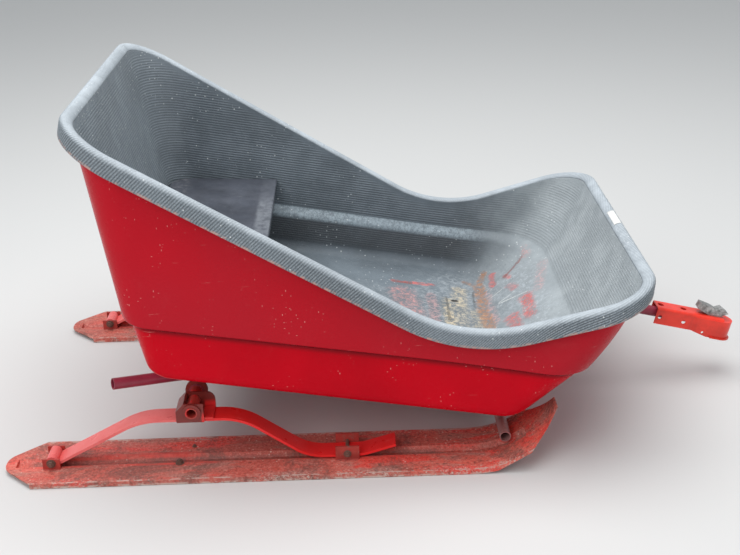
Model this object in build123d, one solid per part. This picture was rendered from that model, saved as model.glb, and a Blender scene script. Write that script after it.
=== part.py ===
from build123d import *
import math
import os

# Passenger sled: a moulded tub with a rolled rim on a welded tube frame, which pivots on
# two steel skis with leaf springs and is towed by a ball coupler.
# Millimetres, +X forwards to the coupler, +Y to the sled's left, +Z up.
# The tub and its frame are drawn level, with the origin at the middle of the pivot axle.
# They are then tipped nose down about the axle, until the front cross tube rests on the
# skis, as the sled stands when it is parked.
# The skis are drawn as they stand, with x from the axle and z from the ground.

# Parked position
axle_height = 143.0
park_pitch = 9.5

# Tub, outer skin, level with the floor of the tub
floor_z = 81.0
floor_back_x = -72.0
floor_front_x = 692.0
floor_half_width = 386.0
floor_corner_r = 34.0
low_wall_top_z = 200.0
low_wall_back_x = -146.0
low_wall_front_x = 843.0
low_wall_half_width = 411.0
step_width = 12.0
back_step_width = 16.0
step_rise = 6.0
step_corner_growth = 6.0
back_corner_r = 52.0
front_corner_r = 112.0
bow_bulge = 9.0
bow_share = 0.42
step_waist = 10.0
waist_r = 4600.0

# Rounding from the floor into the low wall, as loops that grow out from the floor's edge
bilge_table = (
    # rise, reach back, reach ahead, reach to the sides, growth of back and front corners
    (0.0, 0.0, 0.0, 0.0, 0.0, 0.0),
    (7.0, 21.0, 18.0, 17.0, 8.0, 14.0),
    (25.0, 35.0, 41.5, 25.0, 14.0, 30.0),
)

# Rim of the tub, at the middle of its roll
rim_back_x = -302.0
rim_front_x = 930.0
rim_half_width = 430.0
rim_back_z = 592.0
rim_fall = 0.404
rim_sag_x = 556.0
rim_climb = 0.435
rim_sag_r = 330.0
rim_corner_r = 112.0
rim_waist = 24.0
roll_r = 15.0
roll_angles = (0, 38, 76, 114, 150)
hem_depth = 23.0
hem_flare = 2.0

# Thicknesses of the moulding and of its ribbed grey coat
shell_wall = 5.0
coat_wall = 2.5

# Seat
seat_front_x = 115.0
seat_front_z = 284.0
seat_tilt = 7.0
seat_side_gap = 9.0
seat_back_gap = 3.0
seat_corner_r = 55.0
seat_edge_r = 4.0
rest_gap = 0.3

# Frame tubes
axle_od = 26.7
axle_id = 20.9
axle_overhang = 35.0
frame_od = 25.4
frame_wall = 2.1
front_tube_x = 691.0
front_tube_drop = 14.0
cross_tube_overhang = 4.0
leg_back_x = -177.0
leg_back_y = 345.0
leg_meet_x = 455.0
tongue_rise_x = 745.0
tongue_top_x = 888.0
tongue_top_z = 217.0
tongue_droop = 4.0
tongue_bend_r = 70.0
collar_y = 281.0
collar_od = 50.0
collar_width = 8.0
end_ring_od = 40.0
end_ring_width = 3.5
bearer_width = 50.0
bearer_half_length = 300.0
bearer_wall = 3.0
bearer_xs = {"back": 0.0, "front": 613.0}

# Coupler, with x from its back end and z from the middle of the tongue
coupler_back_x = 1074.0
coupler_length = 198.0
coupler_wall = 3.0
coupler_edge_r = 7.0
sleeve_half_width = 25.4
sleeve_top = 20.5
sleeve_low = 21.5
grip_start = 22.0
grip_length = 36.0
nose_start = 96.0
nose_full = 136.0
nose_swell = 8.0
nose_low = 31.0
nose_shoulder = 15.0
skirt_start = 145.0
skirt_reach = 5.0
side_holes = (
    # x, z, radius
    (11.0, -3.0, 5.2),
    (72.0, -4.5, 5.2),
    (125.0, -21.5, 3.2),
)
top_holes = (
    # x, radius
    (12.0, 8.0),
    (70.5, 8.0),
)
ball_r = 23.8
ball_play = 0.4
socket_drop = 10.0
latch_half_width = 12.0
latch_sheet = 3.0
latch_pin_x = 135.0
latch_pin_height = 8.8
latch_pin_r = 3.5
latch_pin_head = 2.0
latch_side = (
    # x, height above what it rests on
    (101.0, 12.0), (132.0, 0.0), (160.0, 0.0), (170.0, 6.0), (180.0, 12.0), (160.0, 23.0),
    (147.0, 16.0), (135.0, 20.5), (104.0, 27.0),
)

# Skis: pressed sheet with a keel along its middle and its edges turned down
ski_y = 355.0
ski_width = 176.0
ski_sheet = 2.5
ski_top_z = 12.0
ski_tail_x = -424.0
ski_tail_taper = 72.0
ski_tail_half_width = 22.0
ski_tail_r = 42.0
ski_bend_r = 215.0
ski_tip_angle = 61.0
ski_tip_taper = 62.0
ski_tip_half_width = 22.0
edge_height = 11.0
edge_fade_angle = 14.0
keel_width = 35.0
keel_foot_width = 13.0
keel_end_angle = 35.0
keel_back_x = -400.0

# Leaf springs and their brackets
spring_width = 50.0
spring_sheet = 6.0
eye_x = -317.0
eye_r = 13.0
eye_bore_r = 5.2
pin_r = 5.0
pin_head = 3.0
cheek_sheet = 4.0
cheek_gap = 1.0
bracket_base = 2.0
back_bracket_length = 38.0
back_bracket_height = 25.0
slide_x = 333.0
slide_length = 52.0
slide_height = 33.0
keeper_r = 4.0
pad_length = 36.0

# Saddles on the springs
saddle_back = 34.0
saddle_front = 46.0
saddle_outer_front = 26.0
saddle_top = 20.0
saddle_top_back = 17.0
saddle_shoulder = 3.0
saddle_front_r = 20.0
saddle_skirt = 6.0
saddle_base = 4.0
saddle_tie = 4.0
pivot_play = 0.08

# Middle line of a leaf, x from the axle and z from the ground, with its bends' radii
spring_line = ((-115.0, 121.5), (104.0, 121.5), (248.0, 20.0), (366.0, 20.0), (440.0, 42.0))
spring_radii = (163.0, 140.0, 110.0, 110.0)

# Lengths that follow from others
axle_half_length = ski_y + axle_overhang
front_tube_half_length = ski_y + cross_tube_overhang
tongue_grip = grip_start + grip_length


def corner(before, at, after, radius, straight):
    """Start, end and middle of the arc that rounds a corner; no middle where it is flat."""
    d_in = (at - before).normalized()
    d_out = (after - at).normalized()
    turn = math.acos(max(-1.0, min(1.0, d_in.dot(d_out))))
    if turn < 1e-4:
        return at - d_in * straight, at + d_out * straight, None
    cut = radius * math.tan(turn / 2)
    inward = (d_out - d_in).normalized()
    middle = at + inward * (radius / math.cos(turn / 2) - radius)
    return at - d_in * cut, at + d_out * cut, middle


def ring(back, dip, front, w, rb, rf, rs, waist=0.0):
    """Closed loop round the tub, through its back, dip and front points on each side."""
    side = [(*back, w), (*dip, w - waist), (*front, w)]
    loop = [Vector(x, y, z) for x, z, y in side] + [Vector(x, -y, z) for x, z, y in reversed(side)]
    radii = [rb, rs, rf, rf, rs, rb]
    rounds = []
    for i, at in enumerate(loop):
        after = loop[(i + 1) % len(loop)]
        rounds.append(corner(loop[i - 1], at, after, radii[i], rs / 3))
    edges = []
    for i, (start, end, middle) in enumerate(rounds):
        if middle is None:
            edges.append(Edge.make_line(start, end))
        else:
            edges.append(Edge.make_three_point_arc(start, middle, end))
        following = rounds[(i + 1) % len(rounds)][0]
        edges.append(Edge.make_line(end, following))
    return edges


fall_cos = math.cos(math.atan(rim_fall))
climb_cos = math.cos(math.atan(rim_climb))
rim_sag_z = rim_back_z - rim_fall * (rim_sag_x - rim_back_x)
step_z = low_wall_top_z + step_rise
step_back_x = low_wall_back_x - back_step_width
step_front_x = low_wall_front_x + step_width
step_half_width = low_wall_half_width + step_width


def rim_points(out, up):
    """Back, dip and front points of a loop at (out, up) from the middle of the roll."""
    xb = rim_back_x - out
    xf = rim_front_x + out
    lift_back = up / fall_cos
    lift_front = up / climb_cos
    zb = rim_back_z + rim_fall * out + lift_back
    zf = rim_sag_z + rim_climb * (xf - rim_sag_x) + lift_front
    xs = rim_sag_x + (lift_back - lift_front) / (rim_fall + rim_climb)
    zs = rim_sag_z - rim_fall * (xs - rim_sag_x) + lift_back
    return (xb, zb), (xs, zs), (xf, zf)


def rim_ring(out, up):
    """Loop that follows the rim, at (out, up) from the middle of its roll."""
    back, dip, front = rim_points(out, up)
    r = rim_corner_r + out
    return ring(back, dip, front, rim_half_width + out, r, r, rim_sag_r - up, rim_waist)


def roll_ring(radius, angle):
    """Loop on the roll of the rim, where 0 degrees points outwards and 90 up."""
    a = math.radians(angle)
    return rim_ring(radius * math.cos(a), radius * math.sin(a))


def between(low, high, share):
    return tuple(a + share * (b - a) for a, b in zip(low, high))


def bow_ring(inset):
    """Loop part of the way up the wall, where the bow bulges forwards."""
    back, dip, front = rim_points(-roll_r / 2 - inset, 0)
    mid_back = between((step_back_x + inset, step_z), back, bow_share)
    mid_dip = between((dip[0], step_z), dip, bow_share)
    mid_front = between((step_front_x - inset, step_z), front, bow_share)
    mid_front = (mid_front[0] + bow_bulge, mid_front[1])
    rb = back_corner_r + bow_share * (rim_corner_r - back_corner_r)
    waist = step_waist + bow_share * (rim_waist - step_waist)
    return ring(mid_back, mid_dip, mid_front, step_half_width - inset, rb, front_corner_r, rim_sag_r, waist)


def level_ring(z, xb, xf, w, rb, rf, rs=rim_sag_r, waist=0.0):
    """Loop at one height."""
    return ring((xb, z), (rim_sag_x, z), (xf, z), w, rb, rf, rs, waist)


def wall_rings(inset):
    """Loops from the floor to the middle of the wall, set in from the outer skin."""
    loops = []
    for rise, back, ahead, out, grow_b, grow_f in bilge_table:
        xb = floor_back_x - back + inset
        xf = floor_front_x + ahead - inset
        w = floor_half_width + out - inset
        z = floor_z + rise + inset
        loops.append(level_ring(z, xb, xf, w, floor_corner_r + grow_b, floor_corner_r + grow_f))
    low_w = low_wall_half_width - inset
    low_z = low_wall_top_z + inset
    loops.append(level_ring(low_z, low_wall_back_x + inset, low_wall_front_x - inset, low_w,
                            back_corner_r, front_corner_r, waist_r, step_waist))
    step_w = step_half_width - inset
    loops.append(level_ring(step_z + inset, step_back_x + inset, step_front_x - inset, step_w,
                            back_corner_r + step_corner_growth, front_corner_r + step_corner_growth,
                            waist_r, step_waist))
    loops.append(bow_ring(inset))
    return loops


def skin(rings):
    """Solid between loops joined by ruled faces, closed flat at its first and last loop."""
    faces = [Face(Wire(rings[0])), Face(Wire(rings[-1]))]
    for low, high in zip(rings, rings[1:]):
        for a, b in zip(low, high):
            faces.append(Face.make_surface_from_curves(a, b))
    body = Solid(Shell(faces))
    return body if body.is_valid else body.fix()


def roll_rings(radius):
    """Loops from the foot of the hem, up its outside and over the roll."""
    return [rim_ring(radius + hem_flare, -hem_depth)] + [roll_ring(radius, angle) for angle in roll_angles]


def tub_hull():
    core_r = roll_r - coat_wall
    slot = core_r - shell_wall
    inner_hem = [rim_ring(-slot, 0), rim_ring(0, slot), rim_ring(slot, 0)]
    inner_hem.append(rim_ring(slot + hem_flare, -hem_depth))
    inside = list(reversed(wall_rings(shell_wall)))
    return skin(wall_rings(0) + inner_hem + roll_rings(core_r) + inside)


def tub_coat():
    under = wall_rings(shell_wall) + list(reversed(roll_rings(roll_r - coat_wall)))
    over = roll_rings(roll_r) + list(reversed(wall_rings(shell_wall + coat_wall)))
    return skin(under + over)


def seat_board():
    """Block that fills the tub above its back ledge, with a top that tilts back."""
    both = shell_wall + coat_wall
    back_rise = step_rise * (1 - seat_back_gap / back_step_width)
    side_rise = step_rise * (1 - seat_side_gap / step_width)
    bottom = low_wall_top_z + both + max(back_rise, side_rise) + rest_gap
    half = step_half_width - both - seat_side_gap
    back_x = step_back_x + both + seat_back_gap
    lean = (step_back_x - rim_back_x - roll_r / 2) / (rim_back_z - step_z)
    tilt = math.tan(math.radians(seat_tilt))
    top_z = (seat_front_z - tilt * (seat_front_x - back_x - lean * bottom)) / (1 + tilt * lean)
    top_x = back_x - (top_z - bottom) * lean
    side = Polyline((back_x, bottom), (seat_front_x, bottom), (seat_front_x, seat_front_z),
                    (top_x, top_z), close=True)
    block = extrude(Plane.XZ * make_face(side), half, both=True)
    back_face = block.faces().sort_by(Axis.X)[0]
    uprights = [e for e in back_face.edges() if abs(e.center().Y) > half / 2]
    block = fillet(uprights, seat_corner_r)
    return fillet(block.faces().sort_by(Axis.Z)[-1].edges(), seat_edge_r)


def rod(start, end, radius):
    start = Vector(*start)
    end = Vector(*end)
    return Solid.make_cylinder(radius, (end - start).length, Plane(origin=start, z_dir=end - start))


def cross_rod(x, z, half, radius):
    """Rod that lies across the sled."""
    return rod((x, -half, z), (x, half, z), radius)


def pipe(start, end, outer, inner):
    """Straight open tube."""
    along = (Vector(*end) - Vector(*start)).normalized()
    bore = rod(tuple(Vector(*start) - along), tuple(Vector(*end) + along), inner / 2)
    return rod(start, end, outer / 2) - bore


def largest(shape):
    """The biggest solid of a shape, without the slivers that a cut leaves."""
    return max(shape.solids(), key=lambda s: s.volume)


frame_r = frame_od / 2
frame_id = frame_od - 2 * frame_wall
upper_z = axle_od / 2 + rest_gap + frame_r
front_tube_z = upper_z - front_tube_drop
leg_angle = math.atan2(leg_back_y, leg_meet_x - leg_back_x)
tongue_back_x = leg_meet_x - frame_r / math.sin(leg_angle)


def axle_tube():
    return pipe((0, -axle_half_length, 0), (0, axle_half_length, 0), axle_od, axle_id)


def front_cross_tube():
    half = front_tube_half_length
    return pipe((front_tube_x, -half, front_tube_z), (front_tube_x, half, front_tube_z), frame_od, frame_id)


def tongue_tube():
    """Bent tube from the legs to the coupler, notched over the front cross tube."""
    end_x = coupler_back_x + tongue_grip
    end_z = tongue_top_z - (end_x - tongue_top_x) * math.tan(math.radians(tongue_droop))
    points = [(tongue_back_x, 0, upper_z), (tongue_rise_x, 0, upper_z), (tongue_top_x, 0, tongue_top_z),
              (end_x, 0, end_z)]
    route = FilletPolyline(*points, radius=tongue_bend_r)
    section = Plane(origin=route @ 0, z_dir=route % 0) * (Circle(frame_r) - Circle(frame_id / 2))
    notch = cross_rod(front_tube_x, front_tube_z, frame_od, frame_r)
    return largest(sweep(section, route) - notch)


def frame_leg(side):
    """Straight tube from its open rear end to the side of the tongue."""
    meet = (leg_meet_x + frame_r, side * -frame_r * math.tan(leg_angle), upper_z)
    leg = pipe((leg_back_x, side * leg_back_y, upper_z), meet, frame_od, frame_id)
    tongue = rod((tongue_back_x, 0, upper_z), (tongue_rise_x, 0, upper_z), frame_r)
    reach = leg_meet_x - leg_back_x
    own_side = Pos(0, side * reach, upper_z) * Box(4 * reach, 2 * reach, 2 * frame_od)
    return largest((leg & own_side) - tongue)


def axle_ring(y, width, od):
    return pipe((0, y - width / 2, 0), (0, y + width / 2, 0), od, axle_od)


def axle_collars():
    """Rings on the axle: a collar inside each saddle and a thin ring outside it."""
    end_y = ski_y + cheek_out + rest_gap + end_ring_width / 2
    collars = axle_ring(-collar_y, collar_width, collar_od) + axle_ring(collar_y, collar_width, collar_od)
    ends = axle_ring(-end_y, end_ring_width, end_ring_od) + axle_ring(end_y, end_ring_width, end_ring_od)
    return collars + ends


def floor_bearer(x):
    """Pressed channel between the frame and the floor of the tub, open below."""
    low = upper_z + frame_r
    height = floor_z - low
    grounded = (Align.CENTER, Align.CENTER, Align.MIN)
    outer = Box(bearer_width, 2 * bearer_half_length, height, align=grounded)
    inside_width = bearer_width - 2 * bearer_wall
    inner = Box(inside_width, 2 * bearer_half_length + bearer_wall, height - bearer_wall, align=grounded)
    return Pos(x, 0, low) * (outer - inner)


droop = math.radians(tongue_droop)
coupler_z = tongue_top_z - (coupler_back_x - tongue_top_x) * math.tan(droop)
coupler_plane = Plane(origin=(coupler_back_x, 0, coupler_z), x_dir=(math.cos(droop), 0, -math.sin(droop)),
                      z_dir=(math.sin(droop), 0, math.cos(droop)))
socket_r = ball_r + ball_play
dome_r = socket_r + coupler_wall
socket_x = coupler_length - dome_r


def nose_plan(grow):
    """Plan of the nose: it swells from the sleeve to the round of the socket."""
    w = sleeve_half_width + grow
    r = dome_r + grow
    swollen = nose_start + nose_swell
    cheeks = Polyline((nose_start, w), (swollen, r), (socket_x, r), (socket_x, -r), (swollen, -r),
                      (nose_start, -w), close=True)
    return make_face(cheeks) + Pos(socket_x, 0) * Circle(r)


def coupler_body():
    """Sleeve over the tongue, open below, that runs into a deeper nose with a ball socket."""
    side = Polyline((0, -sleeve_low), (nose_start, -sleeve_low), (nose_full, -nose_low),
                    (socket_x, -nose_low), (socket_x, sleeve_top), (0, sleeve_top), close=True)
    sleeve = extrude(Plane.XZ * make_face(side), sleeve_half_width, both=True)
    sleeve = fillet(sleeve.faces().sort_by(Axis.Z)[-1].edges().filter_by(Axis.X), coupler_edge_r)
    underside = Polyline((nose_start, -sleeve_low), (nose_full, -nose_low), (coupler_length, -nose_low),
                         (coupler_length, sleeve_top), (nose_start, sleeve_top), close=True)
    kept = extrude(Plane.XZ * make_face(underside), 2 * dome_r, both=True)
    nose = extrude(Pos(0, 0, -nose_low) * nose_plan(0), nose_low + nose_shoulder) & kept
    skirt = extrude(Pos(0, 0, -nose_low) * (nose_plan(skirt_reach) - nose_plan(-coupler_wall)), coupler_wall)
    skirt_end = Box(coupler_length, 4 * dome_r, 4 * dome_r, align=(Align.MIN, Align.CENTER, Align.CENTER))
    skirt = skirt & (Pos(skirt_start, 0, 0) * skirt_end)
    ball_middle = Pos(socket_x, 0, -socket_drop)
    upper_half = Box(4 * dome_r, 4 * dome_r, 4 * dome_r, align=(Align.CENTER, Align.CENTER, Align.MIN))
    dome = ball_middle * (Sphere(dome_r) & upper_half)
    inner_half = sleeve_half_width - coupler_wall
    tunnel = Box(socket_x, 2 * inner_half, 4 * dome_r, align=(Align.MIN, Align.CENTER, Align.MAX))
    tunnel = Pos(-coupler_wall, 0, sleeve_top - coupler_wall) * tunnel
    hollow_height = 2 * nose_low + nose_shoulder - coupler_wall
    hollow = extrude(Pos(0, 0, -2 * nose_low) * nose_plan(-coupler_wall), hollow_height)
    throat = Cylinder(socket_r, 2 * nose_low, align=(Align.CENTER, Align.CENTER, Align.MAX))
    body = sleeve + nose + skirt + dome - tunnel - hollow - ball_middle * (Sphere(socket_r) + throat)
    grip = Box(grip_length, 4 * dome_r, sleeve_top + frame_r, align=(Align.MIN, Align.CENTER, Align.MAX))
    body = body + (sleeve & (Pos(grip_start, 0, sleeve_top) * grip))
    body = body - rod((0, 0, 0), (nose_start, 0, 0), frame_r + rest_gap)
    for x, z, radius in side_holes:
        body = body - cross_rod(x, z, 2 * dome_r, radius)
    for x, radius in top_holes:
        body = body - Pos(x, 0, sleeve_top) * Cylinder(radius, 4 * coupler_wall)
    return coupler_plane * largest(body)


def coupler_latch():
    """Channel-shaped lever over the nose, with the pin it turns on."""
    inner_half = latch_half_width - latch_sheet
    dome_z = math.sqrt(dome_r ** 2 - inner_half ** 2) - socket_drop
    low = max(sleeve_top, dome_z) + rest_gap
    points = [(x, low + height) for x, height in latch_side]
    face = make_face(Polyline(*points, close=True))
    lever = extrude(Plane.XZ * face, latch_half_width, both=True)
    inside = extrude(Plane.XZ * (Pos(0, -latch_sheet) * face), inner_half, both=True)
    pin = cross_rod(latch_pin_x, low + latch_pin_height, latch_half_width + latch_pin_head, latch_pin_r)
    return coupler_plane * (largest(lever - inside) + pin)


# Where the front cross tube stands when parked, and the ski's bend that it rests against
pitch = math.radians(park_pitch)
stop_x = front_tube_x * math.cos(pitch) + front_tube_z * math.sin(pitch)
stop_z = axle_height - front_tube_x * math.sin(pitch) + front_tube_z * math.cos(pitch)
bend_z = ski_top_z + ski_bend_r
stop_reach = ski_bend_r - frame_r - rest_gap
ski_bend_x = stop_x - math.sqrt(stop_reach ** 2 - (bend_z - stop_z) ** 2)
bend_axis = Axis((ski_bend_x, 0, bend_z), (0, -1, 0))
ski_half = ski_width / 2


def bend_point(depth, angle):
    """Point in side view, below the top of the sheet, at an angle round the bend."""
    a = math.radians(angle)
    r = ski_bend_r + depth
    return ski_bend_x + r * math.sin(a), bend_z - r * math.cos(a)


def cross_section(points):
    """Face across the ski at the start of its bend, from points (y, depth below its top)."""
    corners = [(ski_bend_x, y, ski_top_z - depth) for y, depth in points]
    return make_face(Polyline(*corners, close=True))


def round_bend(points, start, end):
    """A cross-section carried round the bend between two angles."""
    face = cross_section(points).rotate(bend_axis, start)
    return revolve(face, bend_axis, end - start)


def ski_sections():
    """Cross-sections of the ski: with its keel open, with it closed, and the plain sheet."""
    depth = ski_top_z - ski_sheet
    top = keel_width / 2
    foot = keel_foot_width / 2
    pinch = ski_sheet * math.tan(math.atan2(depth, top - foot) / 2)
    inner = ski_half - ski_sheet
    groove = [(foot, depth), (top, 0)]
    edge = [(ski_half, 0), (ski_half, edge_height), (inner, edge_height), (inner, ski_sheet)]
    keel = [(top + pinch, ski_sheet), (foot + pinch, ski_top_z)]
    half = groove + edge + keel
    mirrored = [(-y, d) for y, d in half]
    outside = edge + keel
    closed = outside + [(-y, d) for y, d in reversed(outside)]
    opened = half + list(reversed(mirrored))
    plain = [(ski_half, 0), (ski_half, ski_sheet), (-ski_half, ski_sheet), (-ski_half, 0)]
    return opened, closed, plain


def edge_fade():
    """Space below the sheet's edges round the bend, which takes them off towards the tip."""
    start = bend_point(edge_height, edge_fade_angle)
    end = bend_point(ski_sheet, keel_end_angle)
    far = bend_point(ski_sheet, keel_end_angle + edge_fade_angle)
    side = Polyline(start, end, far, (far[0], 0), (start[0], 0), close=True)
    cut = extrude(Plane.XZ * make_face(side), ski_half + ski_sheet, both=True)
    return cut - extrude(Plane.XZ * make_face(side), keel_width, both=True)


def ski_plan():
    """Outline of the ski from above, with its tapered tail and tip."""
    tip_x = bend_point(0, ski_tip_angle)[0]
    ahead = tip_x + ski_tip_half_width
    side = [(ski_tail_x, ski_tail_half_width), (ski_tail_x + ski_tail_taper, ski_half),
            (tip_x - ski_tip_taper, ski_half), (tip_x, ski_tip_half_width), (ahead, ski_tip_half_width)]
    outline = make_face(Polyline(*side, *[(x, -y) for x, y in reversed(side)], close=True))
    return fillet(outline.vertices().sort_by(Axis.X)[:2], ski_tail_r)


def ski():
    opened, closed, plain = ski_sections()
    wall = math.degrees(ski_sheet / ski_bend_r)
    flat = extrude(cross_section(opened), ski_bend_x - keel_back_x, dir=(-1, 0, 0))
    to_tail = Pos(keel_back_x - ski_bend_x, 0, 0)
    flat = flat + to_tail * extrude(cross_section(closed), ski_sheet, dir=(-1, 0, 0))
    flat = flat + to_tail * extrude(cross_section(plain), keel_back_x - ski_tail_x, dir=(-1, 0, 0))
    bend = round_bend(opened, 0, keel_end_angle) + round_bend(closed, keel_end_angle, keel_end_angle + wall)
    tip = round_bend(plain, keel_end_angle, ski_tip_angle)
    body = flat + bend + tip - edge_fade()
    return largest(body & extrude(ski_plan(), bend_z))


base_z = ski_top_z + bracket_base
eye_z = base_z + eye_r + rest_gap
cheek_y = spring_width / 2 + cheek_gap + cheek_sheet / 2
cheek_out = cheek_y + cheek_sheet / 2


def leaf_spring():
    """Flat leaf from under its rolled eye, up over the axle's saddle and down to its free end."""
    roll = eye_r - spring_sheet / 2
    reach, rise = spring_line[0][0] - eye_x, spring_line[0][1] - eye_z
    climb = math.atan2(rise, reach) + math.asin(roll / math.hypot(reach, rise))
    start = (eye_x + roll * math.sin(climb), 0, eye_z - roll * math.cos(climb))
    points = [start] + [(x, 0, z) for x, z in spring_line]
    route = FilletPolyline(*points, radius=list(spring_radii))
    start = Plane(origin=route @ 0, x_dir=(0, 1, 0), z_dir=route % 0)
    leaf = sweep(start * Rectangle(spring_width, spring_sheet), route)
    leaf = leaf + cross_rod(eye_x, eye_z, spring_width / 2, eye_r)
    return leaf - cross_rod(eye_x, eye_z, spring_width, eye_bore_r)


def spring_foot(leaf):
    """Height of the leaf's underside where it runs through its slide."""
    zone = Pos(slide_x, 0, ski_top_z) * Box(slide_length, spring_width, 4 * slide_height)
    return (leaf & zone).bounding_box().min.Z


def upright(outline, y):
    """Pair of plates that stand lengthwise, y to each side, from their side view."""
    plates = []
    for side in (-1, 1):
        plate = extrude(Plane.XZ * outline, cheek_sheet / 2, both=True)
        plates.append(Pos(0, side * y, 0) * plate)
    return plates[0] + plates[1]


def channel(x, length, height):
    """Bracket on the ski: a base with a cheek along each side of the spring."""
    outline = Pos(x, ski_top_z + height / 2) * Rectangle(length, height)
    base = Pos(x, 0, ski_top_z + bracket_base / 2) * Box(length, 2 * cheek_y, bracket_base)
    return upright(outline, cheek_y) + base


def back_bracket():
    return channel(eye_x, back_bracket_length, back_bracket_height) - cross_rod(eye_x, eye_z, ski_half, pin_r)


def back_pin():
    return cross_rod(eye_x, eye_z, cheek_out + pin_head, pin_r)


def slide_bracket(foot):
    keeper_z = foot + spring_sheet + rest_gap + keeper_r
    return channel(slide_x, slide_length, slide_height) - cross_rod(slide_x, keeper_z, ski_half, keeper_r)


def keeper_pin(foot):
    keeper_z = foot + spring_sheet + rest_gap + keeper_r
    return cross_rod(slide_x, keeper_z, cheek_out + pin_head, keeper_r)


def wear_pad(foot):
    height = foot - rest_gap - base_z
    return Pos(slide_x, 0, base_z + height / 2) * Box(pad_length, spring_width, height)


def saddle(leaf, side):
    """Inverted channel on top of the leaf, bored for the axle, with a shorter cheek outside."""
    seat_z = leaf.bounding_box().max.Z + rest_gap
    low = seat_z - saddle_skirt
    top = axle_height + saddle_top
    plates = []
    for front, y in ((saddle_outer_front, side * cheek_y), (saddle_front, -side * cheek_y)):
        outline = make_face(Polyline((-saddle_back, low), (front, low), (front, top), (-saddle_top_back, top),
                                     (-saddle_back, axle_height + saddle_shoulder), close=True))
        if front == saddle_front:
            outline = fillet(outline.vertices().sort_by(Axis.X)[-2:].sort_by(Axis.Z)[-1], saddle_front_r)
        plate = extrude(Plane.XZ * outline, cheek_sheet / 2, both=True)
        plates.append(Pos(0, y, 0) * plate)
    length = saddle_back + saddle_front
    middle = (saddle_front - saddle_back) / 2
    base = Pos(middle, 0, seat_z + saddle_base / 2) * Box(length, 2 * cheek_y, saddle_base)
    slope = math.atan2(saddle_top - saddle_shoulder, saddle_back - saddle_top_back)
    tie_x = -(saddle_back + saddle_top_back) / 2
    tie_z = axle_height + (saddle_top + saddle_shoulder) / 2
    tie_length = math.hypot(saddle_top - saddle_shoulder, saddle_back - saddle_top_back)
    tie = Box(tie_length, 2 * cheek_y, saddle_tie, align=(Align.CENTER, Align.CENTER, Align.MAX))
    tie = Pos(tie_x, 0, tie_z) * Rot(0, -math.degrees(slope), 0) * tie
    body = plates[0] + plates[1] + base + tie
    return body - cross_rod(0, axle_height, ski_half, axle_od / 2 + pivot_play)


def tipped(shape):
    """Turn the level tub and frame nose down, and lift its axle to its height."""
    return Pos(0, 0, axle_height) * Rot(0, park_pitch, 0) * shape


parts = {
    "tub_hull": tipped(tub_hull()),
    "tub_coat": tipped(tub_coat()),
    "seat_board": tipped(seat_board()),
    "axle_tube": tipped(axle_tube()),
    "axle_collars": tipped(axle_collars()),
    "front_cross_tube": tipped(front_cross_tube()),
    "tongue_tube": tipped(tongue_tube()),
    "frame_leg_left": tipped(frame_leg(1)),
    "frame_leg_right": tipped(frame_leg(-1)),
    "coupler_body": tipped(coupler_body()),
    "coupler_latch": tipped(coupler_latch()),
}
for place, x in bearer_xs.items():
    parts["floor_bearer_" + place] = tipped(floor_bearer(x))

leaf = leaf_spring()
foot = spring_foot(leaf)
ski_pieces = {
    "ski": ski(),
    "leaf_spring": leaf,
    "back_bracket": back_bracket(),
    "back_pin": back_pin(),
    "slide_bracket": slide_bracket(foot),
    "keeper_pin": keeper_pin(foot),
    "wear_pad": wear_pad(foot),
}
for side, sign in (("left", 1), ("right", -1)):
    place = Pos(0, sign * ski_y, 0)
    for name, shape in ski_pieces.items():
        parts[name + "_" + side] = place * shape
    parts["saddle_" + side] = place * saddle(leaf, sign)

boxes = [shape.bounding_box() for shape in parts.values()]
middle_x = (min(box.min.X for box in boxes) + max(box.max.X for box in boxes)) / 2
ground_z = min(box.min.Z for box in boxes)

os.makedirs("parts", exist_ok=True)
for name, shape in parts.items():
    export_step(Pos(-middle_x, 0, -ground_z) * shape, f"parts/{name}.step")
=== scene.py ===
import math

import bmesh
import bpy
import numpy as np
from bpy.props import FloatProperty, FloatVectorProperty, IntProperty, PointerProperty
from mathutils import Matrix, Vector


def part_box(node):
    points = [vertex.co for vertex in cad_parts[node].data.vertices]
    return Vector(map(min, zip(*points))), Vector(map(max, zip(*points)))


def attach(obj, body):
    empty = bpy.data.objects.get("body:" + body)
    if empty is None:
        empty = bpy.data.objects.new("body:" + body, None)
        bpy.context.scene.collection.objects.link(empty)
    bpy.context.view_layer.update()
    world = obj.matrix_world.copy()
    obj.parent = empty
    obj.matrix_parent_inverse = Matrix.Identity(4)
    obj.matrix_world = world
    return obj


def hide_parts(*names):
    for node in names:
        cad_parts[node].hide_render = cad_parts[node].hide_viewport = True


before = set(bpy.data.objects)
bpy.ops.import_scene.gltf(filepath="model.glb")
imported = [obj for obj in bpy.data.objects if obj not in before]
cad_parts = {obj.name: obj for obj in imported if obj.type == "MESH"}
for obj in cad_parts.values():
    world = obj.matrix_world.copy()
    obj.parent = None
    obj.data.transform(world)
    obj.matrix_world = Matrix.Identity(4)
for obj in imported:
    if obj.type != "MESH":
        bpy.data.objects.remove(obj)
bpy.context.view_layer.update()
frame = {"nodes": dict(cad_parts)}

bl_info = {
    "name": "Passenger Sled",
    "version": (1, 0, 0),
    "blender": (4, 5, 0),
    "location": "3D View > Sidebar > Sled",
    "description": "Builds the ribbed tub, worn paint and small fittings of a towed passenger sled",
    "category": "Add Mesh",
}

TUB = "tub_and_frame"
SIDES = {"left": 1, "right": -1}

# The pivot axle of the tub, about which tub and frame are tipped nose down
axle_low, axle_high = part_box("axle_tube")
AXLE = (axle_low + axle_high) / 2
PARK_PITCH = math.radians(9.5)

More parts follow.
